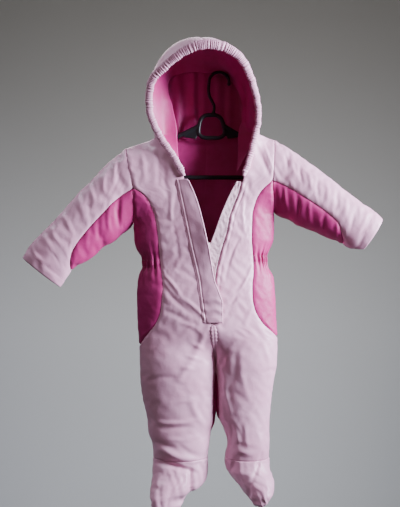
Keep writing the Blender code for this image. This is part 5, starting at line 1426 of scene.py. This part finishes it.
def copies_along(name, model, places, directions, finish):
    """One small model repeated at places, its length turned along directions, all in one mesh."""
    source = np.array([corner.co for corner in model.data.vertices], float)
    faces = [tuple(face.vertices) for face in model.data.polygons]
    points, all_faces = [], []
    for place, direction in zip(places, directions):
        along = direction / np.linalg.norm(direction)
        across_it = np.cross(along, BACKWARD)
        across_it = across_it / max(np.linalg.norm(across_it), 1e-9)
        out = np.cross(across_it, along)
        base = len(points) * len(source)
        points.append(place + source @ np.array([along, across_it, out]))
        all_faces += [tuple(base + i for i in face) for face in faces]
    whole = cloth_mesh(name, np.concatenate(points), all_faces)
    whole.data.materials.append(finish)
    whole.data.shade_smooth()
    mesh = bmesh.new()
    mesh.from_mesh(whole.data)
    bmesh.ops.recalc_face_normals(mesh, faces=mesh.faces)
    mesh.to_mesh(whole.data)
    mesh.free()
    bpy.data.objects.remove(model)
    return on_suit(whole)


TOOTH = (2.4, 1.3, 1.6)
TOOTH_PITCH = 2.6


def make_zip_teeth():
    """Moulded teeth along both sides of the open zip, down to the slider."""
    for side, column, inset in ((SIDES[0], "tape", -1.4), (SIDES[1], "band", 1.4)):
        edge = Track(ZIP_EDGES, "z", column)
        heights = np.arange(ZIP_EDGES[0].z - 4, SLIDER_HEIGHT + 8, -TOOTH_PITCH)
        x = edge(heights) + inset
        y = front_face(x, heights) + TAPE_SUNK - 0.7
        points = in_frame(np.stack([x, y, heights], axis=-1))
        run = np.gradient(points, axis=0)
        sideways = np.cross(run, BACKWARD)
        tooth = add_box("zip_tooth", TOOTH, (HOOK_TOP_X, 0, 0), 0.35)
        copies_along(f"zip_teeth_{side.name}", tooth, points, sideways, ZIP_PLASTIC)


SLIDER_X, SLIDER_HEIGHT = -0.2, -343.0
# name, size, how far behind the front plate's face, how far up, bevel
SLIDER_PARTS = [("zip_slider_body", (8.0, 1.1, 10.0), 0.55, 0, 0.5),
                ("back_plate", (8.0, 1.1, 10.0), 4.25, 0, 0.5),
                ("neck", (1.0, 2.8, 6.0), 2.4, 0, 0.3), ("bail_top", (1.6, 1.4, 2.0), -0.5, 3, 0.3),
                ("bail_foot", (1.6, 1.4, 2.0), -0.5, -3, 0.3), ("bail", (1.6, 0.7, 7.5), -1.2, 0, 0.3)]


def make_slider():
    """The slider's two plates on their neck, with a bail on the front one."""
    front = float(front_face(SLIDER_X, SLIDER_HEIGHT)) - 0.9
    parts = [add_box(name, size, (SLIDER_X, front + back, SLIDER_HEIGHT + up), bevel)
             for name, size, back, up, bevel in SLIDER_PARTS]
    slider = join_pieces("zip_slider_body", parts, ZIP_PLASTIC)
    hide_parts("zip_slider")


def make_cord_piece(name, line, radius, finish, section=8, widen=1.0, groove=0.0):
    """A thin trim, such as piping, along a line on the front.

    widen makes its section an oval, and a groove can run along its middle.
    """
    along = unit(np.gradient(line, axis=0))
    out = np.broadcast_to(FORWARD, line.shape)
    side_way = unit(np.cross(along, out))
    out = np.cross(side_way, along)
    radius = np.broadcast_to(radius, len(line))[:, None]
    rings = []
    for step in range(section):
        angle = 2 * math.pi * step / section
        height = math.sin(angle) * (1 - groove * math.exp(-(math.cos(angle) / 0.25) ** 2))
        rings.append(line + (side_way * widen * math.cos(angle) + out * height) * radius)
    return make_tube(name, np.stack(rings, axis=1), finish)


# ---------------------------------------------------------------- stitching
STITCH_LENGTH, STITCH_PITCH, STITCH_RADIUS = 2.3, 3.1, 0.28
INSIDE = slice(1, -1)


def stitch_model():
    """One stitch, a small bead laid along X."""
    bpy.ops.object.select_all(action="DESELECT")
    bpy.ops.mesh.primitive_uv_sphere_add(segments=6, ring_count=4, radius=1, location=(0, 0, 0),
                                         rotation=(0, math.pi / 2, 0))
    stitch = bpy.context.object
    stitch.scale = (STITCH_RADIUS * MM, STITCH_RADIUS * MM, STITCH_LENGTH / 2 * MM)
    bpy.ops.object.transform_apply(location=True, rotation=True, scale=True)
    return stitch


def stitches_on(name, lines):
    """A row of stitches along each line of surface points, half sunk in the cloth."""
    even = [spread(line, max(3, int(run_along(line[:, None], 0)[-1, 0] / STITCH_PITCH))) for line in lines]
    places = in_frame(np.concatenate(even))
    directions = np.concatenate([np.gradient(line, axis=0) for line in even])
    return copies_along(name, stitch_model(), places, directions, PINK_THREAD)


def surface_line(name, row=None, column=None, part=slice(None), offset=0.1):
    """A line of points on a sewn panel's outer face, along one of its rows or columns."""
    panel = next(panel for panel in PANELS if panel.node == name)
    face = SEWN[panel.name] + unit(panel.outer - panel.inner) * offset
    return face[row, part] if row is not None else face[part, column]


def nearest_row(places, wanted):
    """Which of the rows' places lies nearest to the wanted one."""
    return int(np.argmin(np.abs(np.asarray(places) - wanted)))


def make_stitching():
    """The rows of thread that show: cuffs, waist elastic, flap and band."""
    stitching = {}
    hem = nearest_row(SLEEVE_STATIONS, HEM_STATION)
    for side in SIDES:
        sleeve, panel = f"sleeve_top_{side.name}", f"side_panel_{side.name}"
        stitching[sleeve] = stitches_on(f"cuff_stitches_{side.name}", [surface_line(sleeve, row=hem)])
        waists = [nearest_row(panel_rows(side), side.waist + away) for away in (WAIST_ROW, -WAIST_ROW)]
        stitching[panel] = stitches_on(f"waist_stitches_{side.name}",
                                       [surface_line(panel, row=row, part=INSIDE) for row in waists])
    flap = ([surface_line("placket_flap", column=column, part=INSIDE) for column in (2, 4)]
            + [surface_line("placket_flap", row=row, part=INSIDE) for row in (-2, -4)])
    stitching["placket_flap"] = stitches_on("flap_stitches", flap)
    stitching["zip_band_left"] = stitches_on("band_stitches",
                                             [surface_line("zip_band_left", column=2, part=INSIDE)])
    return stitching


STRIP_ENDS, STRIP_RINGS = (-497, -586), 110


def make_trims():
    """The piping on the flap's free edge and the raised strip on the centre-front seam below the flap."""
    edge = surface_line("placket_flap", column=-1, part=slice(1, None), offset=-0.6)
    piping = make_cord_piece("flap_piping", edge, 1.25, PINK_SATIN)
    heights = np.linspace(*STRIP_ENDS, STRIP_RINGS)
    x = centre_line(heights) + 0.5
    ends = 1 - np.abs(np.linspace(-1, 1, STRIP_RINGS)) ** 12
    lift = (0.7 + 0.9 * ease((heights + 556) / 16)) * ends + 0.2 * np.sin(heights * 0.9)
    line = np.stack([x, front_face(x, heights) + 0.5 - lift * 0.3, heights], axis=-1)
    seam_strip = make_cord_piece("centre_seam_strip", line, np.maximum(lift, 0.3), PINK_SATIN,
                                 section=28, widen=4.0, groove=0.5)
    return {"placket_flap": piping, "front_right": seam_strip}


# ---------------------------------------------------------------- hanger
HOOK_WIRE, BAR_RADIUS, ARM_RADIUS = 3.4, 4.4, 4.6
HOOK_RADIUS, HOOK_END = 20.0, -12
STEM = [(10, -84), (13, -66), (9, -56), (3, -46), (0.5, -32)]
NECK_FRAME = [(-14, -82), (26, -82), (37, -128), (-22, -128)]
SHOULDER_WEBS = [[(-13, -88), (-24, -106), (-46, -121), (-48, -127), (-24, -130)],
                 [(26, -88), (37, -106), (58, -121), (60, -127), (39, -130)]]
WEB_THICKNESS = 5.0
ARM_FRAME = [(-18, -104), (-56, -123), (-120, -153), (-196, -191), (-202, -197), (-200, -204), (-192, -207),
             (190, -207), (198, -203), (198, -195), (190, -187), (120, -152), (66, -124), (31, -104)]
PLASTIC_GRAIN = 1.15


def round_corners(points, closed):
    """Cuts the corners of a line three times, keeping the ends of an open one."""
    line = np.array(points, float)
    for _ in range(3):
        ahead = np.roll(line, -1, axis=0)
        pairs = np.stack([line * 0.8 + ahead * 0.2, line * 0.2 + ahead * 0.8], axis=1).reshape(-1, 2)
        line = pairs if closed else np.concatenate([line[:1], pairs[1:-3], line[-1:]])
    return line


def add_bar(name, line, radius, closed):
    """A round moulded bar along a line in the hanger's upright plane."""
    curve = bpy.data.curves.new(name, "CURVE")
    curve.dimensions = "3D"
    curve.bevel_depth = radius * MM
    curve.bevel_resolution = 5
    curve.use_fill_caps = True
    spline = curve.splines.new("POLY")
    spline.points.add(len(line) - 1)
    for point, (x, z) in zip(spline.points, line):
        point.co = (*in_frame((x, 0, z)), 1)
    spline.use_cyclic_u = closed
    bar = bpy.data.objects.new(name, curve)
    bpy.context.scene.collection.objects.link(bar)
    select_only(bar)
    bpy.ops.object.convert(target="MESH")
    return bar


def add_plate(name, outline):
    """A flat web between the arms and the neck frame."""
    corners = [in_frame((x, y, z)) for y in (-WEB_THICKNESS / 2, WEB_THICKNESS / 2) for x, z in outline]
    count = len(outline)
    sides = [(i, (i + 1) % count, count + (i + 1) % count, count + i) for i in range(count)]
    ends = [tuple(range(count))[::-1], tuple(range(count, 2 * count))]
    plate = cloth_mesh(name, corners, ends + sides)
    make_outward(plate)
    return plate


def make_hanger():
    """Hook, neck frame and arms run into each other in one moulding."""
    turns = np.linspace(math.pi, math.radians(HOOK_END), 40)
    ring = np.stack([np.cos(turns), np.sin(turns)], axis=-1)
    hook = np.array([HOOK_TOP_X, HOOK_WIRE - HOOK_RADIUS]) + HOOK_RADIUS * ring
    hanger = add_bar("hanger_body", round_corners(ARM_FRAME, False), ARM_RADIUS, False)
    neck = add_bar("neck", round_corners(NECK_FRAME, True), BAR_RADIUS, True)
    stem_line = round_corners(STEM + [tuple(hook[0])], False)[:-1]
    stem = add_bar("stem", np.concatenate([stem_line, hook]), HOOK_WIRE, False)
    bpy.ops.mesh.primitive_uv_sphere_add(segments=24, ring_count=16, radius=HOOK_WIRE * MM * 1.05,
                                         location=in_frame((hook[-1][0], 0, hook[-1][1])))
    tip = bpy.context.object
    webs = [add_plate("web", web) for web in SHOULDER_WEBS]
    hanger = join_pieces("hanger_body", [hanger, neck, stem, tip, *webs], HANGER_PLASTIC)
    select_only(hanger)
    bpy.ops.object.transform_apply(location=True, rotation=True, scale=True)
    work(hanger, "REMESH", mode="VOXEL", voxel_size=PLASTIC_GRAIN * MM, use_smooth_shade=True)
    work(hanger, "SMOOTH", factor=0.5, iterations=6)
    hanger.data.shade_smooth()
    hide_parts("hanger")


# ---------------------------------------------------------------- making and declaring the suit
def make_suit():
    """Lays, buckles and sews every panel, adds the hanger and the trims, and hangs each panel on the suit,
    hiding its solid.
    """
    for lay in (lay_fronts_and_backs, lay_side_panels, lay_inner_legs, lay_sleeves, lay_feet, lay_hood,
                lay_front_opening):
        lay()
    settled = buckle_panels()
    pieces = {panel.node: sew_panel(panel, settled[panel.name]) for panel in PANELS}
    make_hanger()
    make_casing()
    make_zip_teeth()
    make_slider()
    trims, stitching = make_trims(), make_stitching()
    for panel in PANELS:
        piece = pieces[panel.node]
        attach(piece, "root")
        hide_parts(panel.node)


# ---------------------------------------------------------------- room, lights and camera
CAMERA = (-0.038, -1.5, -0.359)
# half the long side of what the camera sees, for each metre away from it
LONG_SIDE_HALF = 0.507 / 1.5
SENSOR = 36
FLOOR, WALL, BEND, REACH, FLOOR_REACH = -2.0, 3.0, 1.2, 7.0, 4.0
BEND_ROWS, BACKDROP_COLUMNS = 25, 9


def make_backdrop():
    """A pale paper sweep: the floor bends up into the wall; its colour is painted light, lighter at the
    bottom and darker at the top.
    """
    turns = np.linspace(-math.pi / 2, 0, BEND_ROWS)
    bend = np.stack([WALL - BEND + BEND * np.cos(turns), FLOOR + BEND + BEND * np.sin(turns)], axis=-1)
    profile = np.concatenate([[(-FLOOR_REACH, FLOOR)], bend, [(WALL, REACH)]])
    across_it = np.linspace(-REACH, REACH, BACKDROP_COLUMNS)
    points = np.array([[(x, y, z) for x in across_it] for y, z in profile])
    index = np.arange(len(profile) * BACKDROP_COLUMNS).reshape(-1, BACKDROP_COLUMNS)
    faces = np.stack(cell_corners(index), axis=-1).reshape(-1, 4)
    backdrop = cloth_mesh("backdrop", points.reshape(-1, 3), faces)
    backdrop.data.shade_smooth()
    paper, tree, shader = new_finish("grey_backdrop", (0.44, 0.44, 0.43), 0.9)
    place = tree.nodes.new("ShaderNodeTexCoord")
    split = tree.nodes.new("ShaderNodeSeparateXYZ")
    patches = add_node(tree, "ShaderNodeTexNoise", Scale=1.3, Detail=6.0, Roughness=0.6)
    height = add_node(tree, "ShaderNodeMapRange", From_Min=-1.6, From_Max=1.2)
    uneven = add_node(tree, "ShaderNodeMath", operation="MULTIPLY_ADD")
    uneven.inputs[1].default_value = 0.10
    # painted light: the ramp runs from a lighter, cooler grey low down to a darker, warmer grey high up,
    # standing in for the lamps' falloff on the wall; the noise patches are random tone
    shades = add_shades(tree, (0.0, (0.47, 0.49, 0.52)), (1.0, (0.40, 0.385, 0.36)))
    connect(tree, (place, "Object", patches, "Vector"), (place, "Object", split, "Vector"),
            (split, "Z", height, "Value"), (patches, "Fac", uneven, 0), (height, "Result", uneven, 2),
            (uneven, "Value", shades, "Fac"), (shades, "Color", shader, "Base Color"))
    backdrop.data.materials.append(paper)


def add_area_light(name, place, target, size, watts, colour, spread):
    """A square light aimed at a point, with the width of its cone in degrees."""
    bpy.ops.object.light_add(type="AREA", location=place)
    light = bpy.context.object
    light.name = name
    light.data.size = size
    light.data.energy = watts
    light.data.color = colour
    light.data.spread = math.radians(spread)
    light.rotation_euler = (Vector(target) - Vector(place)).to_track_quat("-Z", "Y").to_euler()


def light_room():
    """A window on the right, a weaker skylight, and the room's own reflections."""
    world = bpy.context.scene.world or bpy.data.worlds.new("room")
    bpy.context.scene.world = world
    world.use_nodes = True
    shade = world.node_tree.nodes["Background"]
    shade.inputs["Color"].default_value = (1.0, 0.90, 0.90, 1.0)
    shade.inputs["Strength"].default_value = 0.03
    add_area_light("window", (1.46, -0.56, 0.06), (-0.02, 0.0, -0.32), 0.6, 25, (0.83, 0.84, 1.0), 75)
    add_area_light("skylight", (-1.5, -0.15, 1.5), (-0.2, 0.0, -0.3), 0.8, 3.0, (0.84, 0.86, 1.0), 50)
    add_area_light("room_bounce", (-1.2, -2.2, 0.9), (0, 0, -0.45), 2.2, 1.5, (1.0, 0.52, 0.44), 90)
    add_area_light("wall_wash", (0.0, 0.8, -1.7), (0.0, 3.0, -0.9), 2.0, 75, (0.97, 0.98, 1.0), 150)
    add_area_light("back_bounce", (-0.6, 2.2, 1.4), (0, 0, -0.4), 1.6, 10, (1.0, 0.97, 0.94), 90)


def add_camera():
    """Level and straight ahead from in front."""
    bpy.ops.object.camera_add(location=CAMERA, rotation=(math.pi / 2, 0, 0))
    camera = bpy.context.object
    camera.data.sensor_fit = "AUTO"
    camera.data.sensor_width = SENSOR
    camera.data.lens = SENSOR / 2 / LONG_SIDE_HALF
    bpy.context.scene.camera = camera


make_suit()
make_backdrop()
light_room()
add_camera()
